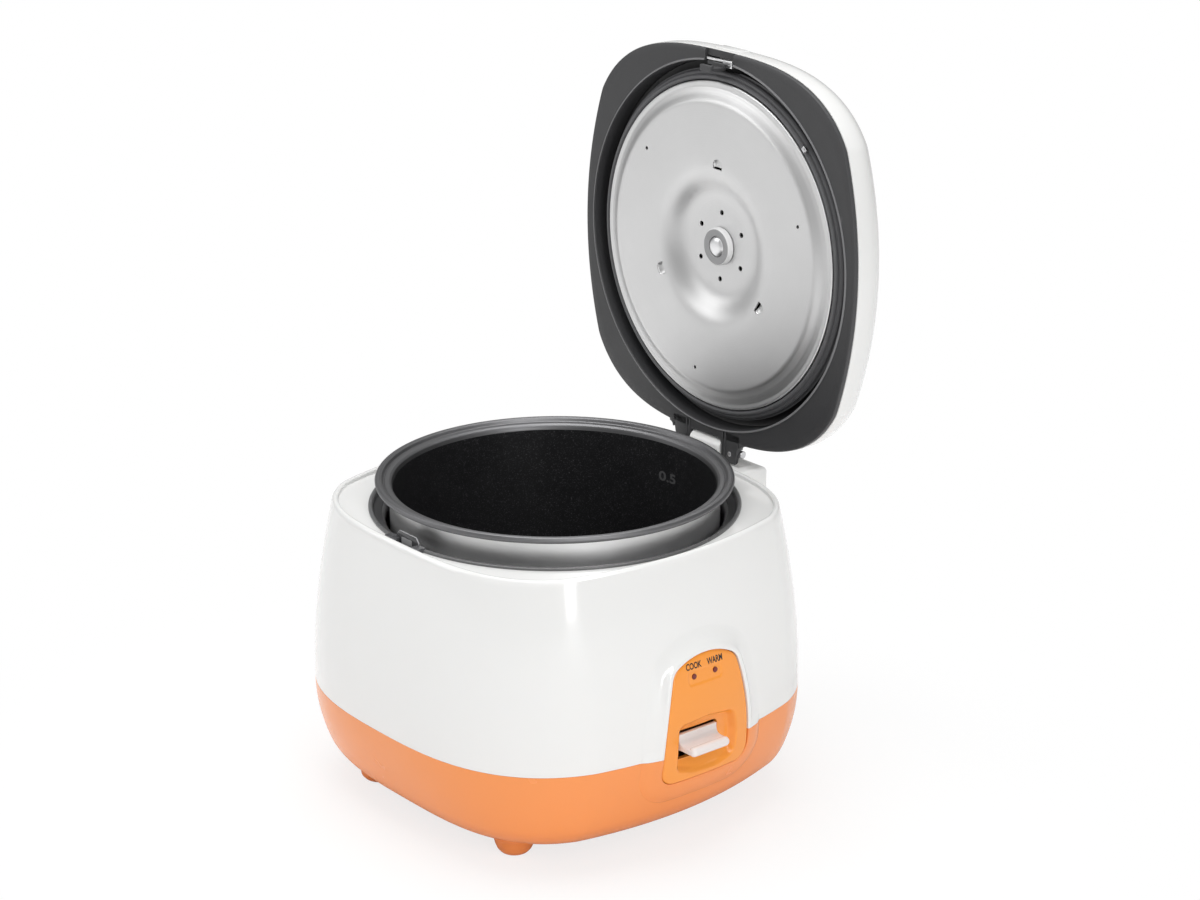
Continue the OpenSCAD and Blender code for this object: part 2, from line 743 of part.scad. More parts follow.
module lid_shell() {
  tongue_z = hinge_z + arm_r + 0.5;
  side = arm_in + arm_w + 5;
  color("white") opened() difference() {
    union() {
      lid_skin();
      block([lid_half - 3.5, -side, tongue_z], [hinge_x + 2.5, side, tongue_z + 5]);
      for (a = [45:90:315]) rotate(a) translate([78, 0, pan_z + 2 + gap]) cylinder(h = 16.2, r = 4);
    }
    for (s = [-1, 1]) translate([0, s * arm_mid, 0])
      block([lid_half - 12, -arm_w / 2 - 0.4, lid_z], [lid_half + 12, arm_w / 2 + 0.4, tongue_z]);
    at_hinge() along_y(-arm_in + 0.2, arm_in - 0.2, arm_r + 0.9);
    block([-lid_half - 4, -10.5, lid_z], [-lid_half + 6, 10.5, lid_z + 13]);
    translate([latch_x, 0, latch_z]) along_y(-9.4, 9.4, 3.2);
    for (a = [45:90:315]) rotate(a) translate([78, 0, pan_z]) cylinder(h = 12, r = 1.7);
    translate([steam_x, 0, lid_top - 14]) cylinder(h = 30, r = steam_r + 0.4);
  }
}

module lid_frame() {
  z = lid_z;
  color("dimgray") opened() difference() {
    union() {
      translate([0, 0, z]) linear_extrude(2.3) polygon(outline(lid_half - 0.2, 3.1, facet_rise));
      translate([0, 0, z]) cylinder(h = pan_z + 2 - z, r = pan_r + 1.6, $fn = 180);
      block([-lid_half + 0.8, -10.2, z + 1], [-lid_half + 3.6, 10.2, z + 4.9]);
      block([-lid_half + 2.5, -12.5, z + 1], [-lid_half + 3.6, 12.5, z + 4.9]);
      for (s = [-1, 1]) translate([0, s * arm_mid, 0]) lid_arm();
      for (s = [-1, 1]) translate([latch_x, s * 12, pan_z])
        block([-1.9, -1, 0], [2.1, 1, 1.8 + latch_z - pan_z]);
    }
    translate([0, 0, z - 1]) cylinder(h = pan_z - z + 1, r = pan_r, $fn = 180);
    translate([latch_x, 0, latch_z]) along_y(-20, 20, 1.5 + fit);
    at_hinge() {
      along_y(-60, 60, pin_r + fit);
      along_y(-arm_in, arm_in, arm_r + 0.9);
    }
    block([-lid_half - 4, -10.5, z - 2], [-lid_half + 4, 10.5, z + 1.6]);
    block([-lid_half + 3.6, -10.5, z - 2], [-lid_half + 10, 10.5, pan_z + 4]);
    translate([steam_x, 0, pan_z - 1]) cylinder(h = 6, r = steam_r - 2);
    for (a = [45, 135, 225, 315]) rotate(a) translate([78, 0, pan_z - 1]) cylinder(h = 6, r = 1.8);
    translate([0, 0, pan_z - 1]) cylinder(h = 6, r = 2.2);
  }
}

module lid_arm() {
  at_hinge() along_y(-arm_w / 2, arm_w / 2, arm_r);
  block([pan_r, -arm_w / 2, lid_z], [hinge_x, arm_w / 2, hinge_z + arm_r]);
}

module lid_screws() {
  color("silver") opened() for (a = [45, 135, 225, 315]) rotate(a) translate([78, 0, 0]) union() {
    translate([0, 0, pan_z - 1.8]) cylinder(h = 1.7, r = 3);
    translate([0, 0, pan_z - 1]) cylinder(h = 11, r = 1.6);
  }
}

module steam_duct() {
  z = pan_z + 2 + gap;
  color("gray") opened() translate([steam_x, 0, z]) difference() {
    cylinder(h = lid_top - 7 - z, r = steam_r - 0.5);
    translate([0, 0, -1]) cylinder(h = lid_top - z, r = steam_r - 2);
  }
}

module steam_cap() {
  top = lid_top + 2;
  color("white") opened() translate([steam_x, 0, 0]) difference() {
    union() {
      translate([0, 0, top - 2]) cylinder(h = 1.6, r = steam_r + 3);
      translate([0, 0, top - 7]) cylinder(h = 6, r = steam_r);
    }
    for (a = [0:60:300]) rotate(a) translate([5, 0, top - 9]) cylinder(h = 12, r = 1.3);
  }
}

module plate_pin() {
  low = plate_z - 0.7;
  color("silver") opened() union() {
    translate([0, 0, low]) cylinder(h = pan_z - low - 0.2, r = 4.6);
    translate([0, 0, pan_z - 1]) cylinder(h = 4.4, r = 2.1);
  }
}

// Level of the raised middle of the plate, and of the flat zone round it that stands towards the pot
middle_z = plate_z + 3.4;
flat_z = plate_z - 2.9;
plate_t = 0.9;

module inner_plate() {
  t = plate_t;
  z = plate_z;
  m = middle_z;
  f = flat_z;
  r = plate_r;
  color("gainsboro") opened() difference() {
    rotate_extrude($fn = 180) polygon([
      [5.2, m], [24, m], [29, m - 1.2], [35, m - 4.8], [40, f + 0.1], [44, f],
      [r - 9.8, f], [r - 5.8, z - 0.6],
      [r - 2.8, z + 0.2], [r - 1, z], [r, z + 0.6], [r, z + 2.2], [r - 1, z + 2.6], [r - 1, z + 1.3],
      [r - 3.1, z + 0.2 + t], [r - 6.3, z - 0.6 + t], [r - 10, f + t], [44, f + t], [40.3, f + 0.1 + t],
      [35.5, m - 4.8 + t], [29.4, m - 1.2 + t], [24.2, m + t], [5.2, m + t]
    ]);
    for (a = [0:60:300]) rotate(a) translate([17.3, 0, m - 1]) cylinder(h = 4, r = 1.5);
    for (a = [9, 129, 249]) rotate(a) translate([66.5, 0, f - 1]) cylinder(h = 4, r = 1);
    for (a = [63.5, 183.5, 303.5]) rotate(a) translate([41.5, 0, f - 2])
      block([-1.2, -3.4, 0], [1.2, 3.4, 6]);
  }
}

module plate_seal() {
  r = plate_r;
  z = seal_z;
  t = plate_z + 2.6 + gap;
  color("darkgray") opened() difference() {
    rotate_extrude($fn = 180) polygon([
      [r + 0.5, t], [r + 1.8, z + 1.6], [r + 2.3, z + 0.2], [r + 3.2, z],
      [r + 4.6, z + 0.4], [r + 5.6, z + 2.4],
      [r + 6.8, t + 0.6], [r + 6.8, t + 2], [r - 7, t + 2], [r - 7, t]
    ]);
    block([-r - 8, -5, z - 1], [-r - 5.2, 5, t + 3]);
  }
}

module plate_bush() {
  top = middle_z;
  low = plate_z - 0.3;
  color("gray") opened() rotate_extrude() polygon([
    [4.7, low], [8.8, low], [9.8, low + 1], [9.8, top - gap], [5, top - gap],
    [5, top + plate_t + gap], [8, top + plate_t + gap],
    [8, top + 2.6], [4.7, top + 2.6]
  ]);
}

// ---- Lid latch ----

latch_x = -lid_half + 6.8;
latch_z = lid_z + 15.5;
hook_low = deck_z - 6.4;

// Upright behind the lid edge, with a claw that reaches down and out under the keeper
module latch_hook() {
  claw = -collar_r + 1.5;
  color("silver") opened() difference() {
    union() {
      translate([latch_x, 0, latch_z]) along_y(-9, 9, 2.2);
      block([latch_x - 1, -9, lid_z + 0.4], [latch_x + 1, 9, latch_z]);
      block([latch_x - 1, -4, lid_z - 1.2], [claw, 4, lid_z + 1.4]);
      block([claw - 1.6, -4, hook_low], [claw, 4, lid_z + 1]);
      block([claw - 3.2, -4, hook_low], [claw, 4, hook_low + 2.2]);
    }
    translate([latch_x, 0, latch_z]) along_y(-20, 20, 1.5 + fit);
    block([latch_x - 3, -3.8, latch_z - 3.3], [latch_x + 3, 3.8, latch_z + 3]);
  }
}

module latch_button() {
  color("white") opened() union() {
    block([-lid_half - 0.8, -9.6, lid_z + 5.8], [-lid_half + 1.2, 9.6, lid_z + 12.4]);
    block([-lid_half + 1, -6, lid_z + 6.2], [latch_x - 1, 6, lid_z + 8.2]);
  }
}

module latch_pin() {
  color("silver") opened() translate([latch_x, 0, latch_z]) along_y(-13, 13, 1.5);
}

module latch_spring() {
  color("silver") opened() translate([latch_x, 2.7, latch_z]) rotate([90, 0, 0]) coil(2.35, 0.4, 0.9, 6);
}

base_shell();
outer_shell();
collar_ring();
latch_catch();
inner_can();
heating_plate();
heater_posts();
thermostat_guide();
thermostat_spring();
thermostat_cap();
ferrite_disc();
magnet_rod();
switch_bracket();
switch_arm();
switch_pin();
switch_key();
contact_block();
control_panel();
cook_lamp_lens();
warm_lamp_lens();
lamp_board();
terminal_block();
thermal_fuse();
cord_gland();
base_screws();
hinge_pin();
hinge_spring();
inner_pot();
lid_shell();
lid_frame();
lid_screws();
steam_duct();
plate_pin();
inner_plate();
plate_seal();
plate_bush();
steam_cap();
latch_hook();
latch_button();
latch_pin();
latch_spring();
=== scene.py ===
# Rice cooker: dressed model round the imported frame.
# Lengths are millimetres until a mesh is placed; camera, lights and floor stand in metres.
import contextlib
import json
import math
import bpy
import bmesh
import numpy as np
from mathutils import Matrix, Vector

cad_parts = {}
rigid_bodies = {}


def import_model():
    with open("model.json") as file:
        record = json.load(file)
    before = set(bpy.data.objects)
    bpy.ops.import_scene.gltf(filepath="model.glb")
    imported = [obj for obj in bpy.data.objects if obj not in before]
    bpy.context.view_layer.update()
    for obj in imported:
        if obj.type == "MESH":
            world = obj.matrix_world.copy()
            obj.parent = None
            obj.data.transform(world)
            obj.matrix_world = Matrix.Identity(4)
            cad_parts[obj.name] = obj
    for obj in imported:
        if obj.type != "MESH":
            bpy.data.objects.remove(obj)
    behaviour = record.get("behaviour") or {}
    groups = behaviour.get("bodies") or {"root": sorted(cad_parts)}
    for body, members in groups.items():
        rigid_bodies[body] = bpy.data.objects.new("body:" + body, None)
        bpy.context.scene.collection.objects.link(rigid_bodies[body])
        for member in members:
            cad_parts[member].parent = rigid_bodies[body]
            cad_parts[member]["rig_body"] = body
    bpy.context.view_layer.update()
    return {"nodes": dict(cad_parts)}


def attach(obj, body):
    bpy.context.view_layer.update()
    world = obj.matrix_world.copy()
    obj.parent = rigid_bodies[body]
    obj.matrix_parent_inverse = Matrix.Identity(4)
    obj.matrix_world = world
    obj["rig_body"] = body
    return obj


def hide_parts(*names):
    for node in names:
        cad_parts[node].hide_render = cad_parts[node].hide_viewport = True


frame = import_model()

MM = 0.001
AXIS = 0.01  # a turned profile starts this far from its axis, so that no face is without area

# Body: heights and half widths of its side, and the power of its rounded-square outline at three heights.
# A crease lies at x, or at a share of the half width where that is less.
FLOOR_Z, SPLIT_Z, BELLY_Z, LIP_Z = 10.0, 56.5, 62.0, 151.5
FOOT_HALF, BELLY_HALF, TOP_HALF = 83.0, 110.6, 97.3
BASE_POWER, BELLY_POWER, TOP_POWER = 3.3, 2.85, 3.3
CREASE, CREASE_NEAR, FACET_RISE = (66.0, 0.68), (59.0, 0.61), 1.2
WALL, LIP_W, DECK_DROP, BASE_ROUND = 2.4, 2.4, 2.2, 16.0
DECK_Z = LIP_Z - DECK_DROP
FEET = ((-69.4, -53.6), (69.4, -53.6), (-71.0, 55.0), (71.0, 55.0))

# Pot, the collar round it and the lid's lower face.
LID_Z = LIP_Z + 0.6
RIM_R, POT_R, POT_WALL, POT_H = 89.3, 80.5, 1.6, 103.0
COLLAR_R = RIM_R + 3.4
COLLAR_IN = POT_R + POT_WALL + 2.5
NOTCH_HALF = 13.8
RIM_LOW = LID_Z + 0.4
RIM_Z = RIM_LOW + 12.0
POT_Z = RIM_Z - POT_H

# Lid, modelled closed; place() turns its pieces open about the hinge.
LID_HALF, LID_SIDE, LID_ROUND, LID_CROWN, LID_WALL = 100.4, 6.0, 20.0, 8.0, 2.2
LID_POWER, LID_FLAT = 3.1, 0.96
LID_Z0 = LID_Z + 2.6
LID_Z1 = LID_Z0 + LID_SIDE
LID_TOP = LID_Z1 + LID_FLAT * LID_ROUND + LID_CROWN
STEAM_X = 34.0
PLATE_Z = RIM_LOW + 0.9
PAN_Z = PLATE_Z + 9.0
LOUVRES = (63.5, 183.5, 303.5)
LOUVRE_R, LOUVRE_BULGE = 41.5, 2.6
LID_OPEN = 91.0
HINGE = Vector((106.0, 0.0, LIP_Z + 4.4))
HINGE_SHIFT, ARM_MID = 2.5, 19.0
ON_LID = ("lid", "inner_lid", "latch")
OPENED = (Matrix.Translation(HINGE) @ Matrix.Rotation(math.radians(LID_OPEN), 4, "Y")
          @ Matrix.Translation(-HINGE))
ALONG_HINGE = Matrix.Translation(HINGE) @ Matrix.Rotation(math.radians(-90), 4, "X")

# Control panel: its outline, how far it bows, the key's window and the two lamps.
PANEL_FOOT, PANEL_HEAD, PANEL_LOW, PANEL_TOP, PANEL_PROUD = 27.5, 18.0, 40.8, 104.0, 2.6
PANEL_X, PANEL_CORNER, PANEL_GAP = 2.8, 8.0, 0.2
BOW_X, BOW_Z = 215.0, 155.0
KEY_LEFT, KEY_RIGHT, KEY_LOW, KEY_HIGH = -15.2, 11.4, 51.7, 67.2
LAMPS, LAMP_Z, LAMP_R = (-5.3, 8.0), PANEL_TOP - 10.0, 1.45


# ---------------------------------------------------------------- materials

def srgb(r, g, b):
    """A colour given as it shows on a screen, as four linear numbers."""
    def lin(c):
        c /= 255.0
        return c / 12.92 if c <= 0.04045 else ((c + 0.055) / 1.055) ** 2.4
    return (lin(r), lin(g), lin(b), 1.0)


def shade(colour, factor, lift=0.0):
    """A colour made brighter or darker, as four numbers."""
    return tuple(np.clip(np.array(colour[:3]) * factor + lift, 0, 1)) + (1.0,)


class Nodes:
    """Short hand for a node tree built in object space, so that nothing slides when a piece moves."""

    def __init__(self, owner):
        self.owner = owner
        owner.use_nodes = True
        self.tree = owner.node_tree
        self.shader = self.tree.nodes.get("Principled BSDF")
        self.coord = self.add("ShaderNodeTexCoord").outputs["Object"]

    def add(self, kind, **settings):
        node = self.tree.nodes.new(kind)
        for key, value in settings.items():
            setattr(node, key, value)
        return node

    def feed(self, node, values):
        """Each input is linked where the value is another node's output, and set where it is a number."""
        for socket, value in values.items():
            if hasattr(value, "is_output"):
                self.tree.links.new(value, node.inputs[socket])
            else:
                node.inputs[socket].default_value = value
        return node

    def put(self, socket, value):
        self.feed(self.shader, {socket: value})

    def noise(self, scale, detail=2.0, rough=0.5, stretch=None):
        where = self.coord
        if stretch:
            mapping = self.feed(self.add("ShaderNodeMapping"), {"Scale": stretch, "Vector": where})
            where = mapping.outputs["Vector"]
        values = {"Scale": scale, "Detail": detail, "Roughness": rough, "Vector": where}
        return self.feed(self.add("ShaderNodeTexNoise"), values).outputs["Fac"]

    def remap(self, value, low, high, start=0.0, end=1.0, **settings):
        values = {"From Min": start, "From Max": end, "To Min": low, "To Max": high, "Value": value}
        return self.feed(self.add("ShaderNodeMapRange", **settings), values).outputs["Result"]

    def mix(self, fac, a, b):
        return self.feed(self.add("ShaderNodeMix", data_type="RGBA"), {0: fac, 6: a, 7: b}).outputs[2]

    def calc(self, operation, *values):
        return self.feed(self.add("ShaderNodeMath", operation=operation), dict(enumerate(values))).outputs[0]

    def bump(self, height, strength, distance):
        values = {"Strength": strength, "Distance": distance, "Height": height}
        self.put("Normal", self.feed(self.add("ShaderNodeBump"), values).outputs["Normal"])


def plastic(name, colour, rough, grain=0.0, scale=900.0, coat=0.0, vary=0.02, edge=0.0, subsurface=0.0):
    """Moulded plastic: slow tone drift, fine surface grain, convex edges painted paler as a highlight and as
    slight wear.
    """
    n = Nodes(bpy.data.materials.new(name))
    tone = n.mix(n.noise(9.0, 3.0), shade(colour, 1 - vary), shade(colour, 1 + vary))
    # edge paints convex edges paler: a painted highlight that partly stands for wear.
    if edge:
        corner = n.remap(n.add("ShaderNodeNewGeometry").outputs["Pointiness"], 0.0, 1.0, 0.52, 0.62)
        tone = n.mix(corner, tone, shade(colour, 1 + edge, 0.01))
    n.put("Base Color", tone)
    n.put("Roughness", n.remap(n.noise(24.0, 4.0, 0.6), rough * 0.86, rough * 1.16, 0.3, 0.7))
    if coat:
        n.put("Coat Weight", coat)
        n.put("Coat Roughness", 0.06)
    if subsurface:
        n.put("Subsurface Weight", subsurface)
        n.put("Subsurface Radius", (0.6, 0.5, 0.45))
        n.put("Subsurface Scale", 0.002)
    if grain:
        n.bump(n.noise(scale, 2.0, 0.6), grain, 0.0002)
    return n.owner


def metal(name, colour, rough, stretch=(1.0, 1.0, 1.0), line=0.25, scale=700.0, bump=0.12, vary=0.06):
    """Metal with drawn lines along the stretched direction."""
    n = Nodes(bpy.data.materials.new(name))
    lines = n.noise(scale, 3.0, 0.6, stretch)
    n.put("Base Color", n.mix(n.noise(14.0, 3.0), shade(colour, 1 - vary), shade(colour, 1 + vary)))
    n.put("Metallic", 1.0)
    n.put("Roughness", n.remap(lines, rough * (1 - line), rough * (1 + line), 0.3, 0.7))
    n.bump(lines, bump, 0.0001)
    return n.owner


def ring_metal(name, colour, rough, centre, upright, bump):
    """Satin metal with fine turned rings about a centre in metres. Upright rings stand across X."""
    n = Nodes(bpy.data.materials.new(name))
    moved = n.feed(n.add("ShaderNodeMapping"), {"Location": tuple(-c for c in centre), "Vector": n.coord})
    split = n.feed(n.add("ShaderNodeSeparateXYZ"), {0: moved.outputs["Vector"]})
    across, along = split.outputs["Z" if upright else "X"], split.outputs["Y"]
    squares = n.calc("ADD", n.calc("MULTIPLY", across, across), n.calc("MULTIPLY", along, along))
    rings = n.add("ShaderNodeTexNoise", noise_dimensions="1D")
    n.feed(rings, {"Scale": 2600.0, "Detail": 2.0, "W": n.calc("SQRT", squares)})
    n.put("Base Color", n.mix(n.noise(30.0, 4.0, 0.6), shade(colour, 0.95), shade(colour, 1.04)))
    n.put("Metallic", 1.0)
    n.put("Roughness", n.remap(rings.outputs["Fac"], rough * 0.85, rough * 1.2, 0.3, 0.7))
    n.bump(rings.outputs["Fac"], bump, 0.00005)
    return n.owner



def speckled(name, base, fleck, rough):
    """Non-stick coating: dark film with small paler flecks and a slight orange-peel."""
    n = Nodes(bpy.data.materials.new(name))
    flecks = n.remap(n.noise(1500.0, 2.0, 0.7), 0.0, 1.0, 0.56, 0.72)
    n.put("Base Color", n.mix(flecks, base, fleck))
    n.put("Roughness", n.remap(n.noise(60.0, 3.0), rough * 0.9, rough * 1.15, 0.3, 0.7))
    n.bump(n.noise(900.0, 3.0, 0.6), 0.25, 0.0001)
    return n.owner


MAT = {
    "white": plastic("white_gloss", (0.80, 0.80, 0.79), 0.16, 0.03, 260.0, 0.35, 0.012, 0.0, 0.04),
    "orange": plastic("orange_gloss", srgb(240, 146, 76), 0.24, 0.03, 260.0, 0.12, 0.02, 0.05, 0.03),
    "panel": plastic("panel_orange", srgb(242, 152, 58), 0.22, 0.03, 260.0, 0.12, 0.015, 0.05, 0.03),
    "frame": plastic("frame_charcoal", (0.040, 0.040, 0.042), 0.46, 0.3, 1500.0, 0.0, 0.06, 0.5),
    "collar": plastic("collar_charcoal", (0.034, 0.034, 0.036), 0.34, 0.12, 1200.0, 0.15, 0.05, 0.4),
    "seal": plastic("seal_grey", (0.10, 0.10, 0.105), 0.5, 0.15, 900.0, 0.0, 0.05, 0.1),
    # lip and inner_wall are paler copies of the collar's charcoal: a painted highlight on its bead and
    # painted light on its inner wall.
    "lip": plastic("collar_bead_painted_highlight", (0.12, 0.12, 0.122), 0.3, 0.12, 1200.0, 0.2, 0.05, 0.3),
    "inner_wall": plastic("collar_wall_painted_light", (0.3, 0.3, 0.305), 0.3, 0.08, 900.0, 0.2, 0.05),
    # wall: the bush's side wall in a much paler grey than its face, a painted highlight.
    "wall": plastic("bush_wall", (0.74, 0.74, 0.74), 0.4, 0.1, 900.0, 0.0, 0.03),
    "bush": plastic("bush_grey", (0.32, 0.32, 0.325), 0.42, 0.12, 900.0, 0.0, 0.04, 0.1),
    # bead: a paler copy of the frame's charcoal for the bead line, a painted highlight.
    "bead": plastic("frame_bead_painted_highlight", (0.17, 0.17, 0.175), 0.35, 0.05, 1200.0, 0.0, 0.04),
    # pan: a near-black copy of the frame's charcoal for the pan inside the frame ring, painted shade.
    "pan": plastic("frame_painted_shade", (0.016, 0.016, 0.017), 0.55, 0.25, 1500.0, 0.0, 0.06),
    "catch": plastic("catch_gloss", (0.045, 0.045, 0.048), 0.22, 0.1, 1200.0, 0.4, 0.05, 0.6),
    # edge: the pale grey for the keeper's rim, a painted highlight.
    "edge": plastic("catch_edge_painted_highlight", (0.42, 0.42, 0.43), 0.3, 0.05, 900.0, 0.2, 0.03),
    "bright": metal("hook_zinc", (0.86, 0.86, 0.87), 0.34, (1, 1, 8), 0.2, 500.0, 0.08, 0.03),
    "mark": plastic("level_mark", (0.1, 0.1, 0.102), 0.4, 0.1),
    "ink": plastic("print_ink", (0.012, 0.011, 0.011), 0.4, 0.0),
    "key": plastic("key_white", (0.78, 0.72, 0.70), 0.22, 0.03, 300.0, 0.25, 0.012, 0.0, 0.06),
    "lamp": plastic("lamp_red", (0.15, 0.006, 0.004), 0.3, 0.0, 300.0, 0.15, 0.1),
    "black": plastic("black_rubber", (0.022, 0.022, 0.023), 0.55, 0.25, 900.0, 0.0, 0.1, 0.3),
    "ivory": plastic("ivory_insulator", (0.62, 0.57, 0.45), 0.55, 0.2, 900.0, 0.0, 0.05),
    "board": plastic("board_green", (0.02, 0.12, 0.05), 0.35, 0.15, 600.0, 0.3, 0.1),
    "duct": plastic("duct_grey", (0.22, 0.22, 0.23), 0.4, 0.15, 700.0),
    "steel": metal("steel_satin", (0.62, 0.62, 0.63), 0.3, (1, 1, 14)),
    "spring": metal("spring_wire", (0.5, 0.5, 0.51), 0.22, (8, 8, 1)),
    "cast": metal("cast_heater", (0.60, 0.60, 0.60), 0.5, (1, 1, 1), 0.3, 500.0, 0.3),
    "ferrite": plastic("ferrite", (0.06, 0.06, 0.063), 0.6, 0.3, 900.0, 0.0, 0.12),
    "satin": ring_metal("plate_satin", (0.72, 0.72, 0.72), 0.42, OPENED @ Vector((0, 0, 0)) * MM, True, 0.03),
    "rim": ring_metal("pot_rim", (0.2, 0.2, 0.205), 0.45, (0, 0, 0), False, 0.12),
    "pot_side": metal("pot_side", (0.9, 0.9, 0.9), 0.42, (1, 1, 30), 0.12, 900.0, 0.05),
    "coating": speckled("pot_coating", (0.010, 0.010, 0.011, 1), (0.09, 0.09, 0.095, 1), 0.36),
}


# ---------------------------------------------------------------- mesh helpers

def add_piece(mesh, name, body, mats, replaces):
    """A finished piece. mats holds the names of its materials in the order of the mesh's indices."""
    obj = loose(mesh, name)
    for key in mats.split():
        mesh.materials.append(MAT[key])
    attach(obj, body)
    if replaces:
        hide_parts(*replaces)
    return obj


def place(mesh, name, body, slot, mats, *replaces):
    """A piece built here: scaled to metres and, on the lid, turned open to where it rests."""
    mesh.transform(Matrix.Scale(MM, 4) @ OPENED if body in ON_LID else Matrix.Scale(MM, 4))
    return add_piece(mesh, name, body, mats, replaces)


def dress(node, mat, width, segments):
    """A CAD node's own solid with softened edges and a finished material."""
    src = frame["nodes"][node]
    mesh = src.data.copy()
    mesh.materials.clear()
    with editing(mesh) as bm:
        bmesh.ops.remove_doubles(bm, verts=bm.verts, dist=1e-7)
        bmesh.ops.dissolve_limit(bm, angle_limit=math.radians(0.5), verts=bm.verts, edges=bm.edges)
    return add_piece(bevel(mesh, width, segments), node + "_dressed", src["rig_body"], mat, [node])


def loose(mesh, name="cutter"):
    obj = bpy.data.objects.new(name, mesh)
    bpy.context.scene.collection.objects.link(obj)
    return obj


@contextlib.contextmanager
def editing(mesh):
    """The mesh opened for editing, and written back at the end."""
    bm = bmesh.new()
    bm.from_mesh(mesh)
    yield bm
    bm.to_mesh(mesh)
    bm.free()


def joined(mesh, other):
    """The mesh with another one added to it."""
    with editing(mesh) as bm:
        bm.from_mesh(other)
    return mesh


def smooth(mesh, angle):
    """Smooth shading, with sharp edges where faces meet at more than the angle in degrees."""
    for p in mesh.polygons:
        p.use_smooth = True
    with editing(mesh) as bm:
        for e in bm.edges:
            if len(e.link_faces) == 2:
                e.smooth = e.calc_face_angle(0.0) < math.radians(angle)
    return mesh


def outward(mesh):
    """Turns every face outward."""
    with editing(mesh) as bm:
        bmesh.ops.recalc_face_normals(bm, faces=bm.faces)
    return mesh


def new_mesh(points, faces):
    mesh = bpy.data.meshes.new("mesh")
    mesh.from_pydata(points, [], faces)
    mesh.update()
    return mesh


def tube_mesh(rings, loop=False, caps=False):
    """Quads between rings of points (m, n, 3)."""
    rings = np.asarray(rings, float)
    m, n, _ = rings.shape
    faces = []
    for i in range(m if loop else m - 1):
        a, b = i * n, ((i + 1) % m) * n
        faces += [(a + j, a + (j + 1) % n, b + (j + 1) % n, b + j) for j in range(n)]
    if caps:
        faces.append(tuple(range(n - 1, -1, -1)))
        faces.append(tuple((m - 1) * n + j for j in range(n)))
    return new_mesh([tuple(p) for p in rings.reshape(-1, 3)], faces)


def revolve_mesh(profile, n, closed=True, marks=None):
    """Turns (r, z) points about Z. marks gives a material index per stretch of the profile."""
    ang = np.linspace(0, 2 * math.pi, n, endpoint=False)
    pts = np.array([[(r * math.cos(a), r * math.sin(a), z) for a in ang] for r, z in profile])
    mesh = tube_mesh(pts, loop=closed)
    if marks is not None:
        for i, p in enumerate(mesh.polygons):
            p.material_index = marks[i // n]
    return mesh


def rounded(points, radii, steps, closed=True):
    """Rounds the corners of a 2-D line. radii may be one number or one per corner."""
    pts = [np.array(p, float) for p in points]
    k = len(pts)
    radii = [radii] * k if np.isscalar(radii) else radii
    out = []
    for i, p in enumerate(pts):
        r = radii[i]
        if r <= 0 or (not closed and i in (0, k - 1)):
            out.append(tuple(p))
            continue
        a, b = pts[i - 1] - p, pts[(i + 1) % k] - p
        la, lb = np.linalg.norm(a), np.linalg.norm(b)
        a, b = a / la, b / lb
        half = math.acos(max(-1, min(1, float(a @ b)))) / 2
        d = min(r / math.tan(half), la * 0.48, lb * 0.48)
        s, e = p + a * d, p + b * d
        for t in np.linspace(0, 1, steps + 1):
            out.append(tuple((1 - t) ** 2 * s + 2 * t * (1 - t) * p + t * t * e))
    return out


def modified(mesh, modifiers):
    """The mesh after modifiers, each given as its kind and settings."""
    obj = loose(mesh)
    for kind, settings in modifiers:
        mod = obj.modifiers.new(kind, kind)
        for key, value in settings.items():
            setattr(mod, key, value)
    bpy.context.view_layer.update()
    deps = bpy.context.evaluated_depsgraph_get()
    out = bpy.data.meshes.new_from_object(obj.evaluated_get(deps), depsgraph=deps)
    bpy.data.objects.remove(obj)
    return out


def boolean(mesh, cutters, operation="DIFFERENCE"):
    """Cuts the cutters away, or keeps what lies inside them for INTERSECT."""
    tools = [loose(cutter) for cutter in cutters]
    exact = dict(operation=operation, solver="EXACT")
    out = modified(mesh, [("BOOLEAN", dict(exact, object=tool)) for tool in tools])
    for tool in tools:
        bpy.data.objects.remove(tool)
    return out


def bevel(mesh, width, segments, angle=35.0):
    """Rounds the edges where faces meet at more than the angle in degrees."""
    limit = dict(limit_method="ANGLE", angle_limit=math.radians(angle))
    return smooth(modified(mesh, [("BEVEL", dict(limit, width=width, segments=segments))]), 40)


def box_mesh(low, high):
    low, high = np.array(low, float), np.array(high, float)
    corners = [tuple(np.where([i & 1, i & 2, i & 4], high, low)) for i in range(8)]
    faces = [(0, 2, 3, 1), (4, 5, 7, 6), (0, 1, 5, 4), (2, 6, 7, 3), (0, 4, 6, 2), (1, 3, 7, 5)]
    return new_mesh(corners, faces)


def prism_mesh(points, y0, y1):
    """Upright outline of (x, z) points pushed along Y."""
    pts = np.array(points, float)
    rings = [np.column_stack([pts[:, 0], np.full(len(pts), y), pts[:, 1]]) for y in (y0, y1)]
    return outward(tube_mesh(rings, caps=True))


def upright_mesh(points, z0, z1):
    """Flat outline of (x, y) points pushed along Z."""
    pts = np.array(points, float)
    return outward(tube_mesh([at(pts, z0), at(pts, z1)], caps=True))


def at(points, z):
    """A flat outline of (x, y) points laid at a height."""
    return np.column_stack([points, np.full(len(points), z)])


def circle(x, z, radius, n):
    """Upright circle as (x, z) points."""
    angles = np.linspace(0, 2 * math.pi, n, endpoint=False)
    return [(x + radius * math.cos(a), z + radius * math.sin(a)) for a in angles]


def drill(x, y, radius, z0, z1, n, core=AXIS):
    """Cutter for a round hole along Z."""
    return moved(revolve_mesh([(core, z0), (radius, z0), (radius, z1), (core, z1)], n), x, y, 0)


def moved(mesh, *where):
    mesh.transform(Matrix.Translation(where))
    return mesh


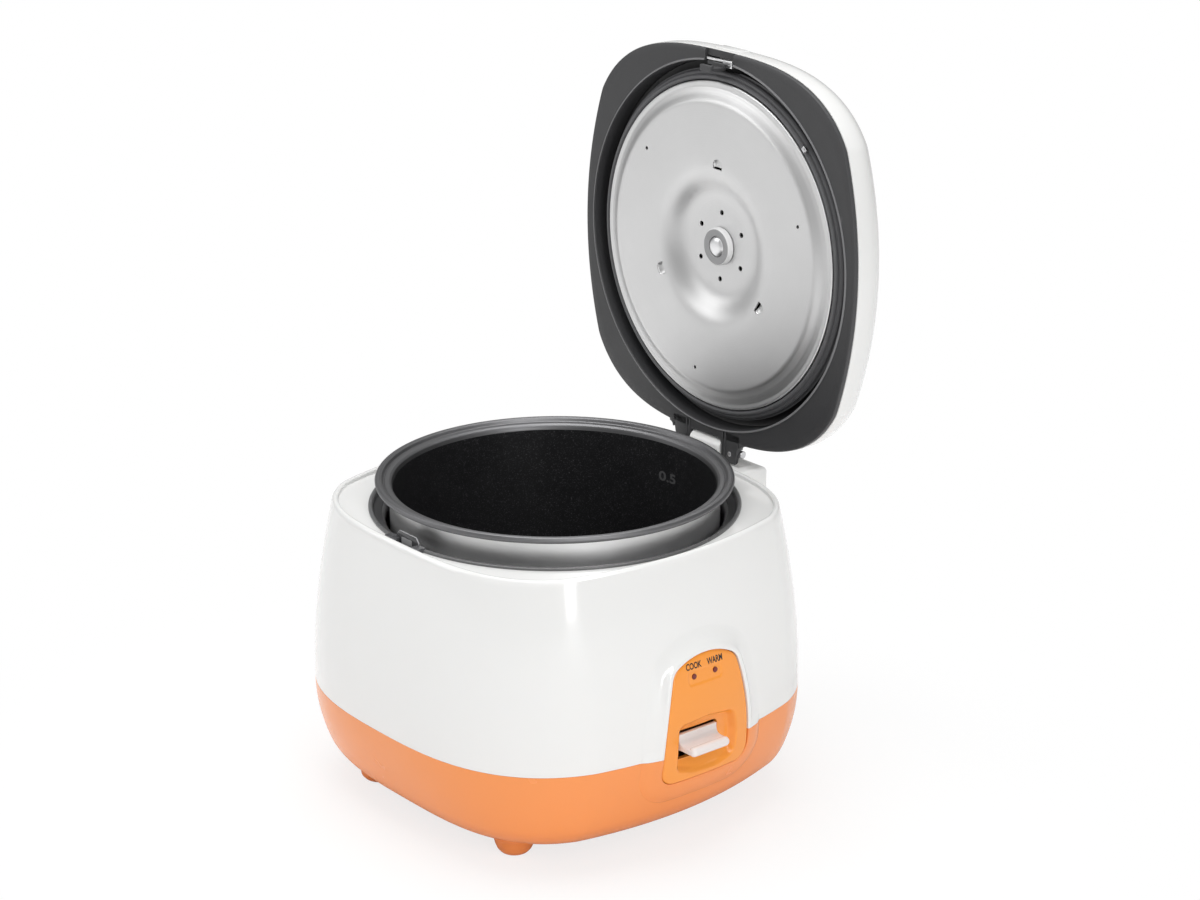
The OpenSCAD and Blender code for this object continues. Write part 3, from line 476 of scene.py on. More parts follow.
def turned(mesh, angle):
    mesh.transform(Matrix.Rotation(math.radians(angle), 4, "Z"))
    return mesh


def soft_box(low, high, width, segments):
    """Box with rounded edges."""
    return bevel(box_mesh(low, high), width, segments, 40)


# ---------------------------------------------------------------- body shape

def ease(t):
    """From 0 to 1 with a level start and end."""
    t = np.clip(t, 0, 1)
    return t * t * (3 - 2 * t)


def half_at(z):
    """Half width of the body at a height: barrel above the belly, drawn in and rounded below it."""
    if z >= BELLY_Z:
        return BELLY_HALF - (BELLY_HALF - TOP_HALF) * ((z - BELLY_Z) / (LIP_Z - BELLY_Z)) ** 1.55
    below = (FLOOR_Z + BASE_ROUND - z) / BASE_ROUND
    edge = 1 - math.sqrt(max(0.0, 1 - below ** 2)) if below > 0 else 0.0
    draft = ((BELLY_Z - z) / (BELLY_Z - FLOOR_Z)) ** 2
    return BELLY_HALF - (BELLY_HALF - FOOT_HALF) * (0.57 * draft + 0.43 * edge)


def power_at(z):
    """Power of the rounded square at a height."""
    if z >= BELLY_Z:
        return BELLY_POWER + (TOP_POWER - BELLY_POWER) * (z - BELLY_Z) / (LIP_Z - BELLY_Z)
    return BELLY_POWER + (BASE_POWER - BELLY_POWER) * (BELLY_Z - z) / (BELLY_Z - FLOOR_Z)


def crease(a, n, limits):
    """Where the rounded square meets a bowed facet: x, y and the angle."""
    x = min(limits[0], limits[1] * a)
    y = a * (1 - (x / a) ** n) ** (1 / n)
    return x, y, math.atan2(y, x)


def on_square(a, n, t):
    """Points of the rounded square at the angles t."""
    r = (np.abs(np.cos(t) / a) ** n + np.abs(np.sin(t) / a) ** n) ** (-1 / n)
    return np.column_stack([r * np.cos(t), r * np.sin(t)])


def outline(a, n, rise=FACET_RISE, near=None, side=72, facet=60, soft=6):
    """The body's outline as an array of (x, y), its creases softened to a small radius.

    The sides follow the rounded square, front and back are facets that bow out by rise. near moves the
    crease at the left of the front."""
    xf, yf, tf = crease(a, n, CREASE)
    u = np.linspace(-1, 1, side + 1)
    t = tf * (1.5 * u - 0.5 * u ** 3)
    right = on_square(a, n, t)
    v = np.linspace(-1, 1, facet + 1)[1:-1]
    x = xf * (0.6 * v + 0.4 * (1.5 * v - 0.5 * v ** 3))
    y = yf + (a + rise - yf) * (1 - (x / xf) ** 2)
    back = np.column_stack([-x, y])
    left, front = -right, -back
    if near is not None:
        xn, yn, tn = crease(a, n, near)
        left = -on_square(a, n, np.where(t > 0, t * tn / tf, t))
        xl = np.where(x < 0, x * xn / xf, x)
        yl = np.where(x < 0, yn + (a + rise - yn) * (1 - (xl / xn) ** 2), y)
        front = np.column_stack([xl, -yl])
    pts = np.vstack([right, back, left, front])
    for _ in range(soft):
        pts = 0.25 * np.roll(pts, 1, 0) + 0.5 * pts + 0.25 * np.roll(pts, -1, 0)
    return pts


def toward(like, r, share=1.0):
    """An outline taken a share of the way to a circle of radius r."""
    unit = like / np.linalg.norm(like, axis=1)[:, None]
    return like * (1 - share) + unit * r * share


def body_ring(z, inset=0.0):
    """The body's outline at a height, inset from its outer face."""
    return at(outline(half_at(z) - inset, power_at(z), near=CREASE_NEAR), z)


def shell_y(x, z):
    """Outer face of the body's front, as -y."""
    a, n = half_at(z), power_at(z)
    xf, yf, _ = crease(a, n, CREASE if x > 0 else CREASE_NEAR)
    return yf + (a + FACET_RISE - yf) * (1 - (x / xf) ** 2)


PANEL_MID = (PANEL_LOW + PANEL_TOP) / 2 - 4
PANEL_FACE = half_at(PANEL_MID) + FACET_RISE + PANEL_PROUD


def panel_y(x, z):
    """Bowed face of the panel, as -y."""
    r = BOW_X - BOW_Z + math.sqrt(BOW_Z ** 2 - (z - PANEL_MID) ** 2)
    return PANEL_FACE - BOW_X + math.sqrt(r * r - x * x)


def panel_side(r, crown, crown_z, power=2.2):
    """Right side of the panel, r inside its edge, from the foot up to the crowned head."""
    tall = PANEL_TOP - PANEL_LOW
    s = np.linspace(0, 1, 400)
    x = PANEL_FOOT - (PANEL_FOOT - PANEL_HEAD) * s ** power
    z = PANEL_LOW + s * tall
    dx = -(PANEL_FOOT - PANEL_HEAD) * power * s ** (power - 1)
    size = np.hypot(dx, tall)
    x, z = x - r * tall / size, z + r * dx / size
    keep = (z > PANEL_LOW + r + 0.05) & ((z < crown_z) | (np.hypot(x, z - crown_z) <= crown - r))
    return [(float(np.interp(PANEL_LOW + r, z, x)), PANEL_LOW + r)] + list(zip(x[keep], z[keep]))


def panel_outline(grow=0.0, n=240):
    """Outline of the panel seen from the front, walked evenly, with its outward normals."""
    r, crown = PANEL_CORNER, 1.95 * PANEL_HEAD
    cz = PANEL_TOP - crown
    side = panel_side(r, crown, cz)
    a = math.atan2(side[-1][1] - cz, side[-1][0])
    bends = np.linspace(a, math.pi - a, 60)[1:-1]
    arc = [((crown - r) * math.cos(t), cz + (crown - r) * math.sin(t)) for t in bends]
    core = np.array(side + arc + [(-p, q) for p, q in side[::-1]])
    step = np.roll(core, -1, 0) - core
    turn = np.unwrap(np.arctan2(-step[:, 0], step[:, 1]))
    pts = []
    for i, c in enumerate(core):
        first = turn[i - 1] if i else turn[-1] - 2 * math.pi
        for t in np.linspace(first, turn[i], max(2, int((turn[i] - first) / 0.05) + 2)):
            pts.append((c[0] + (r + grow) * math.cos(t) + PANEL_X, c[1] + (r + grow) * math.sin(t)))
    pts = walk(np.array(pts), n)
    tan = np.roll(pts, -1, 0) - np.roll(pts, 1, 0)
    tan /= np.linalg.norm(tan, axis=1)[:, None]
    return pts, np.column_stack([tan[:, 1], -tan[:, 0]])


def walk(pts, n):
    """n points at even steps along a closed line."""
    closed = np.vstack([pts, pts[:1]])
    d = np.r_[0, np.cumsum(np.linalg.norm(np.diff(closed, axis=0), axis=1))]
    t = np.linspace(0, d[-1], n, endpoint=False)
    return np.column_stack([np.interp(t, d, closed[:, k]) for k in (0, 1)])


def distance(points, poly):
    """Signed distance of points (k, 2) to a closed polygon, positive inside."""
    a, b = poly, np.roll(poly, -1, 0)
    ab = b - a
    best = np.full(len(points), 1e9)
    inside = np.zeros(len(points), bool)
    for i in range(len(a)):
        ap = points - a[i]
        t = np.clip((ap @ ab[i]) / (ab[i] @ ab[i]), 0, 1)
        best = np.minimum(best, np.linalg.norm(ap - t[:, None] * ab[i], axis=1))
        cross = (a[i][1] > points[:, 1]) != (b[i][1] > points[:, 1])
        with np.errstate(divide="ignore", invalid="ignore"):
            xi = a[i][0] + (points[:, 1] - a[i][1]) * ab[i][0] / ab[i][1]
        inside ^= cross & (points[:, 0] < xi)
    return np.where(inside, best, -best)


# ---------------------------------------------------------------- outer shell

def panel_opening():
    """Cutter for the opening in the front wall that the panel fills."""
    return prism_mesh(panel_outline(PANEL_GAP)[0], -BELLY_HALF - 20, -BELLY_HALF + 14)


def outer_shell():
    """White wall, its rolled lip, the deck inside the lip and the wall's inner face."""
    top, under = half_at(LIP_Z), DECK_Z - 2.2
    rings = [body_ring(SPLIT_Z, 0.1)]
    rings += [body_ring(z) for z in np.linspace(SPLIT_Z + 0.12, LIP_Z - 1.2, 46)]
    for inset, z in ((0.35, LIP_Z - 0.35), (0.75, LIP_Z - 0.05), (1.2, LIP_Z), (LIP_W - 0.9, LIP_Z),
                     (LIP_W - 0.4, LIP_Z - 0.15), (LIP_W, LIP_Z - 0.6), (LIP_W + 0.05, DECK_Z + 0.5),
                     (LIP_W + 0.3, DECK_Z + 0.1), (LIP_W + 0.9, DECK_Z)):
        rings.append(at(outline(top - inset, TOP_POWER), z))
    inner = outline(top - LIP_W - 1.2, TOP_POWER)
    rings += [at(toward(inner, COLLAR_R - 1.5, s), DECK_Z) for s in (0.3, 0.6, 0.85)]
    for r, z in ((COLLAR_R - 1.2, DECK_Z), (COLLAR_R - 1.5, DECK_Z - 0.3), (COLLAR_R - 1.5, under)):
        rings.append(at(toward(inner, r), z))
    rings += [body_ring(z, WALL) for z in (under, *np.linspace(under - 4, SPLIT_Z, 10))]
    notch = box_mesh((-COLLAR_R - 2.4, -NOTCH_HALF, DECK_Z - 6), (-COLLAR_R + 5.6, NOTCH_HALF, DECK_Z + 6))
    mesh = boolean(tube_mesh(rings, loop=True), [panel_opening(), notch])
    place(smooth(mesh, 32.0), "white_shell", "body", "white_shell", "white", "outer_shell")


def foot(wide):
    """One foot as a turned mesh, wider at its tip by wide."""
    r, top = 10.4, FLOOR_Z + 1.4
    prof = rounded([(AXIS, 0), (4.9 + wide, 0), (6.9 + wide, 0.8), (8.5 + wide, 2.6), (9.6 + wide / 2, 5.2),
                    (r, 8.4), (r, top), (AXIS, top)], [0, 0.6, 1.6, 2.5, 2.5, 1, 0, 0], 6)
    return revolve_mesh(prof, 64, closed=False)


def base_shell():
    """Orange base with its stepped rim at the split line, and the four feet."""
    rim = SPLIT_Z - 0.08
    low, floor_z = half_at(FLOOR_Z), FLOOR_Z + WALL
    rings = [at(outline(low * s, BASE_POWER, FACET_RISE * s), FLOOR_Z) for s in (0.02, 0.5, 0.97)]
    rings.append(body_ring(FLOOR_Z))
    corner = FLOOR_Z + BASE_ROUND * (1 - np.cos(np.linspace(0.12, math.pi / 2, 16)))
    rings += [body_ring(z) for z in (*corner, *np.linspace(28, SPLIT_Z - 0.2, 16))]
    rings += [body_ring(rim, inset) for inset in (0.1, 2.7)]
    rings += [at(outline(half_at(rim) - inset, power_at(rim)), rim + 3) for inset in (2.7, 4.1)]
    rings += [body_ring(z, WALL + 1.5) for z in (50, 38, 28, 20)]
    rings += [at(outline(FOOT_HALF * s, BASE_POWER, FACET_RISE * s), floor_z) for s in (0.98, 0.5, 0.02)]
    mesh = boolean(tube_mesh(rings, caps=True), [panel_opening()])
    place(smooth(mesh, 32.0), "coloured_base", "body", "orange_base", "orange", "base_shell")
    for k, (x, y) in enumerate(FEET):
        mesh = moved(foot(1.7 if y > 0 else 0.0), x, y, 0)
        place(smooth(mesh, 40), f"foot_{k}", "body", "orange_base", "orange")


# The hood's section: distance from the panel, height as a share above and below the split line, and how deep
# it is sunk.
HOOD = ((0.25, 0, 0, -3.0), (0.25, 1, 1, -0.5), (0.34, 1, 1, -0.14), (0.7, 1, 1, 0), (1.4, 1, 0.99, 0),
        (1.9, 0.97, 0.97, 0), (2.4, 0.88, 0.93, 0), (3.2, 0.66, 0.87, 0), (4.4, 0.4, 0.79, 0),
        (6.2, 0.2, 0.66, 0), (8.4, 0.07, 0.45, 0), (9.8, 0.02, 0.2, 0), (10.6, 0, 0.06, 0),
        (11.4, -0.01, -0.01, 0), (11.7, 0, 0, -0.7))


def hood_rings():
    pts, nor = panel_outline(0.0, 320)
    rings = []
    for d, high, low, sink in HOOD:
        ring = []
        for p, q in zip(pts, nor):
            x, z = p + d * q
            base = shell_y(x, max(z, 14.0))
            lift = max(0.15, panel_y(*(p + 0.5 * q)) + 0.35 - base)
            fade = 0.35 + 0.65 * min(1.0, max(0.0, (z - PANEL_LOW + 9) / 22.0))
            share = high + (low - high) * ease((SPLIT_Z + 5 - z) / 7.0)
            ring.append((x, -(base + lift * fade * share + sink), z))
        rings.append(ring)
    return rings


def bezel():
    """Raised hood round the panel: white above the split line, coloured and flared below it."""
    rings = hood_rings()
    halves = (("panel_hood_white", "white_shell", "white", SPLIT_Z, True),
              ("panel_hood_colour", "orange_base", "orange", SPLIT_Z - 0.08, False))
    for name, slot, mat, cut, white in halves:
        mesh = tube_mesh(rings)
        with editing(mesh) as bm:
            bmesh.ops.bisect_plane(bm, geom=bm.verts[:] + bm.edges[:] + bm.faces[:], plane_co=(0, 0, cut),
                                   plane_no=(0, 0, 1), clear_inner=white, clear_outer=not white)
        place(smooth(mesh, 50), name, "body", slot, mat)


def window_outline():
    corners = [(KEY_LEFT, KEY_LOW), (KEY_RIGHT, KEY_LOW), (KEY_RIGHT, KEY_HIGH), (KEY_LEFT, KEY_HIGH)]
    return rounded(corners, [1.2, 2.0, 3.0, 1.2], 5)


def scoop_outline():
    """Edge of the hollow round the key."""
    corners = [(KEY_LEFT - 0.2, 47.6), (-6.0, 44.6), (9.5, 43.9), (20.6, 46.4), (20.8, 60.0), (18.8, 70.2),
               (3.0, 72.2), (KEY_LEFT + 0.2, 70.6)]
    return walk(np.array(rounded(corners, [3.0, 8.0, 8.0, 7.0, 12.0, 5.0, 8.0, 3.0], 8)), 160)


def grid_faces(ids, other_way=False):
    """Quads between the points of a grid, given by their numbers."""
    a, b, c, d = ids[:-1, :-1], ids[:-1, 1:], ids[1:, 1:], ids[1:, :-1]
    return np.stack([a, d, c, b] if other_way else [a, b, c, d], -1).reshape(-1, 4).tolist()


def panel_depths(flat, edge, edge_round=1.1, thick=2.3, scoop_deep=4.2, lamp_deep=0.3):
    """Depth of the panel's front and back at (x, z) points: bowed face, rounded edge, scoop, lamp recess."""
    k = np.clip(edge_round - distance(flat, edge), 0, edge_round)
    drop = edge_round - np.sqrt(np.maximum(0.0, edge_round ** 2 - k ** 2))
    slope = np.clip((flat[:, 1] - 42.5) / 9.0, 0.4, 1.0)
    scoop = scoop_deep * ease((distance(flat, scoop_outline()) + 1.4) / 3.6) * slope
    lamp_field = walk(np.array(rounded([(-9, 90), (12, 90), (12, 97), (-9, 97)], 2.0, 6)), 80)
    recess = lamp_deep * ease(distance(flat, lamp_field) + 0.5)
    face = np.array([panel_y(x, z) for x, z in flat])
    return face - drop - scoop - recess, face - thick - scoop


def control_panel(step=0.4, through=(-150, -80)):
    """A grid over the panel's front, closed by its back, then trimmed and pierced."""
    edge, _ = panel_outline()
    xs = np.arange(-27.0, 33.01, step)
    zs = np.arange(38.0, 106.01, step)
    gx, gz = np.meshgrid(xs, zs)
    flat = np.column_stack([gx.ravel(), gz.ravel()])
    verts = [(x, -y, z) for depth in panel_depths(flat, edge) for (x, z), y in zip(flat, depth)]
    ids = np.arange(gx.size).reshape(gx.shape)
    rim = [int(k) for k in (*ids[0], *ids[1:, -1], *ids[-1, -2::-1], *ids[-2:0:-1, 0])]
    faces = grid_faces(ids) + grid_faces(ids + ids.size, other_way=True)
    faces += [(a, a + ids.size, b + ids.size, b) for a, b in zip(rim, rim[1:] + rim[:1])]
    mesh = boolean(new_mesh(verts, faces), [prism_mesh(edge, *through)], "INTERSECT")
    holes = [window_outline()] + [circle(x, LAMP_Z, LAMP_R, 28) for x in LAMPS]
    mesh = boolean(mesh, [prism_mesh(hole, *through) for hole in holes])
    place(smooth(mesh, 35), "panel_front", "body", "orange_panel", "panel", "control_panel")


# ---------------------------------------------------------------- pot, collar, lid

def inner_pot():
    """Dark coated inside, bright rolled rim and satin outside, as one turned profile.

    b is the bottom, z the rim, and k the inner radius where wall and bottom meet."""
    r, w, z, b, k = POT_R, POT_WALL, RIM_Z, POT_Z, 14.0
    turn = np.linspace(0, math.pi / 2, 14)
    inside = [(AXIS, b + w)] + [(r - k + k * math.sin(t), b + w + k - k * math.cos(t)) for t in turn]
    lip = rounded([(r, z - 7), (r, z - 5.0), (r + 0.5, z - 2.9), (r + 1.5, z - 2.1), (r + 3.6, z - 1.8),
                   (r + 4.2, z - 2.2), (r + 4.7, z - 1.9), (r + 5.2, z - 0.5), (RIM_R - 2.2, z),
                   (RIM_R - 0.6, z - 0.3), (RIM_R, z - 1.6), (RIM_R - 0.5, z - 3.1), (RIM_R - 1.7, z - 3.3),
                   (RIM_R - 2.4, z - 2.8), (r + 4.4, z - 3.1), (r + 3.0, z - 3.3), (r + w, z - 4.6),
                   (r + w, z - 9)],
                  [0, 1.2, 0.8, 0.6, 0.3, 0.3, 0.3, 0.6, 0.8, 0.8, 0.8, 0.6, 0.5, 0.5, 0.5, 0.6, 1.2, 0], 4,
                  closed=False)
    outside = [(r - k + (k + w) * math.sin(t), b + w + k - (k + w) * math.cos(t)) for t in turn[::-1]]
    prof = inside + lip + outside + [(AXIS, b)]
    coated, bright = len(inside) + 2, len(inside) + len(lip) - 4
    marks = [0 if i < coated else 1 if i < bright else 2 for i in range(len(prof) - 1)]
    mesh = revolve_mesh(prof, 288, closed=False, marks=marks)
    place(smooth(mesh, 40), "cooking_pot", "pot", "pot_coating", "coating rim pot_side", "inner_pot")


def lid_ring(a, z):
    return at(outline(a, LID_POWER, FACET_RISE * a / LID_HALF), z)


def crown(s):
    """Height of the lid's outer face above its side, s of the way from the middle to the round edge."""
    return LID_CROWN * (1 - s * s) + LID_FLAT * LID_ROUND


def lid_shell():
    """White cover: inside up to the rim, the rim, then the rounded edge and the crowned top."""
    r, t = LID_ROUND, LID_WALL
    top_a = LID_HALF - r
    rings = [lid_ring(top_a * s, LID_Z1 + crown(s) - t) for s in (0.01, 0.2, 0.4, 0.6, 0.8)]
    for p in np.radians(np.linspace(90, 0, 10)):
        rings.append(lid_ring(top_a + (r - t) * math.cos(p), LID_Z1 + (r - t) * math.sin(p) * LID_FLAT))
    for inset, dz in ((t, 0), (0.5, 0), (0.1, 0.2), (0, 0.7)):
        rings.append(lid_ring(LID_HALF - inset, LID_Z0 + dz))
    for p in np.radians(np.linspace(0, 90, 20)):
        rings.append(lid_ring(LID_HALF - r * (1 - math.cos(p)), LID_Z1 + r * math.sin(p) * LID_FLAT))
    for s in (0.93, 0.85, 0.75, 0.63, 0.5, 0.36, 0.22, 0.1, 0.01):
        rings.append(lid_ring(top_a * s, LID_Z1 + crown(s)))
    cuts = [drill(STEAM_X, 0, 10.4, LID_TOP - 14, LID_TOP + 16, 96),
            box_mesh((-LID_HALF - 4, -9.95, LID_Z + 5.3), (-LID_HALF + 6, 9.95, LID_Z + 13.0))]
    for y in (HINGE_SHIFT - ARM_MID, HINGE_SHIFT + ARM_MID):
        cuts.append(box_mesh((LID_HALF - 12, y - 7.4, LID_Z), (LID_HALF + 12, y + 7.4, HINGE.z + 6.5)))
    mesh = boolean(tube_mesh(rings, caps=True), cuts)
    place(smooth(mesh, 32), "lid_cover", "lid", "white_shell", "white", "lid_shell")


def blended(points, step=0.4, width=0.9, middle=2.3, keep=2):
    """A dense, softened line through (r, z) points whose r only grows, softer by middle inside r = 50."""
    pts = np.array(points, float)
    r = np.arange(pts[0, 0], pts[-1, 0], step)
    z = np.interp(r, pts[:, 0], pts[:, 1])

    def eased(spread):
        k = np.exp(-0.5 * (np.arange(-16, 17) * step / spread) ** 2)
        return np.convolve(np.pad(z, 16, mode="edge"), k / k.sum(), mode="valid")

    part = np.clip((r - 48) / 8, 0, 1)
    zs = eased(middle) * (1 - part) + eased(width) * part
    zs[:keep], zs[-keep:] = z[:keep], z[-keep:]
    return list(zip(r, zs))


def frame_piece(mesh, name):
    place(mesh, name, "lid", "dark_frame", "frame")


def lid_frame():
    """Dark frame under the cover: flat rim, bead, the wall up to the pan, and what is fixed to it."""
    z, pan, painted_shade_r, bead = LID_Z, PAN_Z - LID_Z, 94.4, (94.9, 95.75)
    small = outline(LID_HALF - 1.0, LID_POWER)
    rings = []
    for inset, dz in ((0.2, 2.3), (0.2, 0.9), (0.42, 0.3), (1.0, 0.0)):
        rings.append(at(outline(LID_HALF - inset, LID_POWER), z + dz))
    rings += [at(toward(small, 96.0, s), z) for s in (0.35, 0.7, 0.93)]
    wall = ((96.0, 0.0), (95.8, -0.12), (95.5, -0.5), (95.2, -0.62), (94.9, -0.5), (94.7, -0.1),
            (94.55, 0.5), (94.5, 3.0), (94.5, pan - 1.2), (94.1, pan - 0.3), (93.2, pan), (88.0, pan),
            (60.0, pan), (30.0, pan), (0.5, pan), (0.5, pan + 2), (60.0, pan + 2), (95.6, pan + 2),
            (96.1, pan + 1.5), (96.1, 2.5))
    rings += [at(toward(small, r), z + dz) for r, dz in wall]
    rings.append(at(outline(LID_HALF - 1.6, LID_POWER), z + 2.3))
    cuts = [box_mesh((-LID_HALF - 4, -10.5, z - 2), (-LID_HALF + 4, 10.5, z + 1.6)),
            box_mesh((-LID_HALF + 3.6, -10.5, z - 2), (-LID_HALF + 10, 10.5, PAN_Z + 4)),
            drill(STEAM_X, 0, 8.0, PAN_Z - 1, PAN_Z + 5, 64)]
    mesh = smooth(boolean(tube_mesh(rings, loop=True), cuts), 32)
    for p in mesh.polygons:
        r = math.hypot(p.center.x, p.center.y)
        # Bead faces get the paler bead grey: a painted highlight.
        on_bead_highlight = bead[0] < r < bead[1] and p.center.z < z - 0.2
        # Faces inside the pan's radius get the near-black pan material: painted shade.
        p.material_index = 2 if r < painted_shade_r else 1 if on_bead_highlight else 0
    place(mesh, "lid_frame_ring", "lid", "dark_frame", "frame bead pan", "lid_frame")
    lid_arms()
    for tag, y in (("a", -12), ("b", 12)):
        frame_piece(box_mesh((-95.5, y - 1, PAN_Z), (-91.5, y + 1, 169.4)), f"latch_ear_{tag}")


def lid_arms():
    """Two flat arms flush with the frame, tapered to their tips, each with its eye, ribs and roots."""
    z, hx, hz, x0 = LID_Z, HINGE.x, HINGE.z, 95.2
    slab = [(x0, z), (110.6, z), (111.2, z + 0.25), (111.4, z + 0.8), (111.2, z + 1.8), (110.4, z + 2.4),
            (x0, z + 2.4)]
    eye = [(x0, z + 0.6), (104.0, z + 0.6)]
    eye += [(hx + 3.9 * math.cos(t), hz + 3.9 * math.sin(t)) for t in np.radians(np.linspace(-70, 92, 18))]
    eye += [(x0, hz + 6)]
    for s, tag in ((-1, "a"), (1, "b")):
        inner, outer = s * 12.0 + HINGE_SHIFT, s * 26.0 + HINGE_SHIFT
        for part, prof, y0, y1 in (("arm", slab, inner, outer), ("eye", eye, inner, inner + s * 6.0)):
            mesh = prism_mesh(prof, min(y0, y1), max(y0, y1))
            for v in mesh.vertices:
                if abs(v.co.y - outer) < 0.1:
                    v.co.y -= s * 0.3 * max(0.0, v.co.x - 99.5)
            frame_piece(bevel(mesh, 0.3, 3, 50), f"lid_{part}_{tag}")
        for k, (y, way) in enumerate(((outer, s), (inner, -s))):
            frame_piece(arm_root(y, way), f"arm_root_{tag}{k}")
        for k, away in enumerate((0.5, 2.7)):
            y = inner + s * away
            low, high = min(y, y + s * 0.6), max(y, y + s * 0.6)
            frame_piece(soft_box((95.0, low, z - 0.4), (108.5, high, z + 0.5), 0.2, 2), f"arm_rib_{tag}{k}")
    head = [(AXIS, 0.4), (1.35, 0.4), (1.35, -0.05), (0.8, -0.3), (AXIS, -0.34)]
    head = rounded(head, [0, 0, 0.3, 0.3, 0], 4)
    rivet = moved(revolve_mesh(head, 32, closed=False), 106.3, -15.8, z)
    place(smooth(rivet, 40), "arm_rivet", "lid", "steel", "steel")


def arm_root(y, way, x=102.4, r=2.4, back=97.0):
    """Fillet between the frame and one side of an arm."""
    turn = np.linspace(0, math.pi / 2, 9)
    arc = [(x - r + r * (1 - math.sin(t)), y + way * r * (1 - math.cos(t))) for t in turn]
    points = [(back, y - way * 0.5), (x, y - way * 0.5)] + arc + [(back, y + way * r)]
    return upright_mesh(points, LID_Z + 0.02, LID_Z + 2.2)


def louvre_points(grow=0.0, wide=25):
    """Half-round outline of a louvre, straight on the side of the plate's middle."""
    pts = []
    for u in np.linspace(-1, 1, wide):
        reach = (1 - abs(u) ** LOUVRE_BULGE) ** 0.5
        pts.append((LOUVRE_R + (4.6 + grow) * (0.3 + 0.7 * reach), (3.5 + grow) * u))
    return pts


def louvre(base, angle, name, wide=25, deep=13):
    """Dent pressed into the plate, open along its straight side."""
    verts = []
    straight = LOUVRE_R + 0.1
    for v in np.linspace(0, 1, deep):
        for (x, y), u in zip(louvre_points(0.1, wide), np.linspace(-1, 1, wide)):
            sink = 2.0 * (1 - abs(u) ** LOUVRE_BULGE) ** 0.5 * max(0.0, 1 - v ** 1.8) ** 0.6
            verts.append((straight + (x - straight) * v, y, base + 0.06 + sink))
    faces = grid_faces(np.arange(deep * wide).reshape(deep, wide), other_way=True)
    mesh = turned(new_mesh(verts, faces), angle)
    place(smooth(mesh, 60), name, "inner_lid", "plate_metal", "satin")


def inner_plate():
    """Satin plate: raised middle, flat ring, turned edge, small round holes and three louvres."""
    z = PLATE_Z
    dish, flat = z + 3.4, z - 2.9
    line = blended([(6.0, dish), (24, dish), (29, dish - 1.2), (35, dish - 4.8), (40, flat + 0.1), (44, flat),
                    (74.5, flat), (78.5, z - 0.6), (81.5, z + 0.2)])
    edge = [(82.3, z + 0.12), (83.2, z), (83.8, z + 0.1), (84.2, z + 0.5), (84.3, z + 0.9), (84.3, z + 2.2),
            (83.7, z + 2.5), (83.4, z + 1.5), (82.4, z + 1.25)]
    back = [(r, h + 0.9) for r, h in line[::-4]] + [(6.0, dish + 0.9)]
    holes = [(17.3, a, 1.35) for a in range(0, 360, 60)] + [(66.5, a, 0.95) for a in (9, 129, 249)]
    tools = []
    for r, a, hole in holes:
        x, y = r * math.cos(math.radians(a)), r * math.sin(math.radians(a))
        tools.append(drill(x, y, hole, z - 6, z + 12, 20, core=0.001))
    for a in LOUVRES:
        half_round = [(LOUVRE_R - 0.6, -3.1)] + louvre_points(-0.1) + [(LOUVRE_R - 0.6, 3.1)]
        tools.append(turned(upright_mesh(half_round, z - 6, z + 9), a))
    mesh = smooth(boolean(revolve_mesh(line + edge + back, 288), tools), 28)
    for k, a in enumerate(LOUVRES):
        louvre(flat, a, f"plate_louvre_{k}")
    place(mesh, "lid_plate", "inner_lid", "plate_metal", "satin", "inner_plate")


def middles(prof):
    """Middle (r, z) of each stretch of a closed profile."""
    return [((p[0] + q[0]) / 2, (p[1] + q[1]) / 2) for p, q in zip(prof, prof[1:] + prof[:1])]


def plate_seal():
    z = PLATE_Z
    seal = rounded([(84.75, z + 3.2), (84.9, z + 1.0), (85.6, z + 0.1), (86.6, z + 0.2), (87.2, z + 1.2),
                    (87.5, z + 2.1), (88.6, z + 2.3), (89.3, z + 3.0), (89.6, z + 4.2), (90.4, z + 4.6),
                    (77.3, z + 4.6), (77.3, z + 2.9)],
                   [0, 0.4, 0.5, 0.5, 0.5, 0.4, 0.4, 0.4, 0.3, 0, 0, 0], 4)
    hook_gap = box_mesh((-99, -9.2, z - 3), (-89.5, 9.2, z + 9))
    mesh = boolean(revolve_mesh(seal, 256), [hook_gap])
    place(smooth(mesh, 35), "lid_seal", "inner_lid", "seal_grey", "seal", "plate_seal")


def plate_bits():
    """The seal round the plate, the bush in its middle, the pin that holds it and the seal's clip."""
    plate_seal()
    z = PLATE_Z
    top, low = z + 3.4, z - 0.3
    bush = rounded([(5.35, low + 0.3), (8.8, low), (9.6, low + 0.7), (9.8, top - 0.3), (5.9, top - 0.3),
                    (5.9, top + 1.2), (8, top + 1.2), (8, top + 2.6), (5.35, top + 2.6)],
                   [0.3, 0.7, 0.5, 0.3, 0, 0, 0.3, 0.3, 0], 4)
    # The side wall of the bush takes the paler wall grey: a painted highlight.
    marks = [1 if r > 9.2 and h > low + 0.35 else 0 for r, h in middles(bush)]
    mesh = smooth(revolve_mesh(bush, 96, marks=marks), 40)
    place(mesh, "plate_button", "inner_lid", "bush_grey", "bush wall", "plate_bush")
    low = z - 0.7
    pin = [(AXIS, low - 0.1), (1.4, low - 0.08), (2.8, low + 0.06), (3.9, low + 0.3), (4.7, low + 0.65),
           (5.1, low + 1.2), (5.2, low + 2.0), (5.2, PAN_Z - 0.2), (2.1, PAN_Z - 0.2), (2.1, PAN_Z + 3.4),
           (AXIS, PAN_Z + 3.4)]
    mesh = smooth(revolve_mesh(pin, 96), 40)
    place(mesh, "plate_rivet", "lid", "steel", "bright", "plate_pin")
    tab = soft_box((86.4, -1.6, z - 0.9), (89.0, 1.6, z + 1.0), 0.6, 3)
    place(turned(tab, -135), "seal_clip", "inner_lid", "steel", "steel")


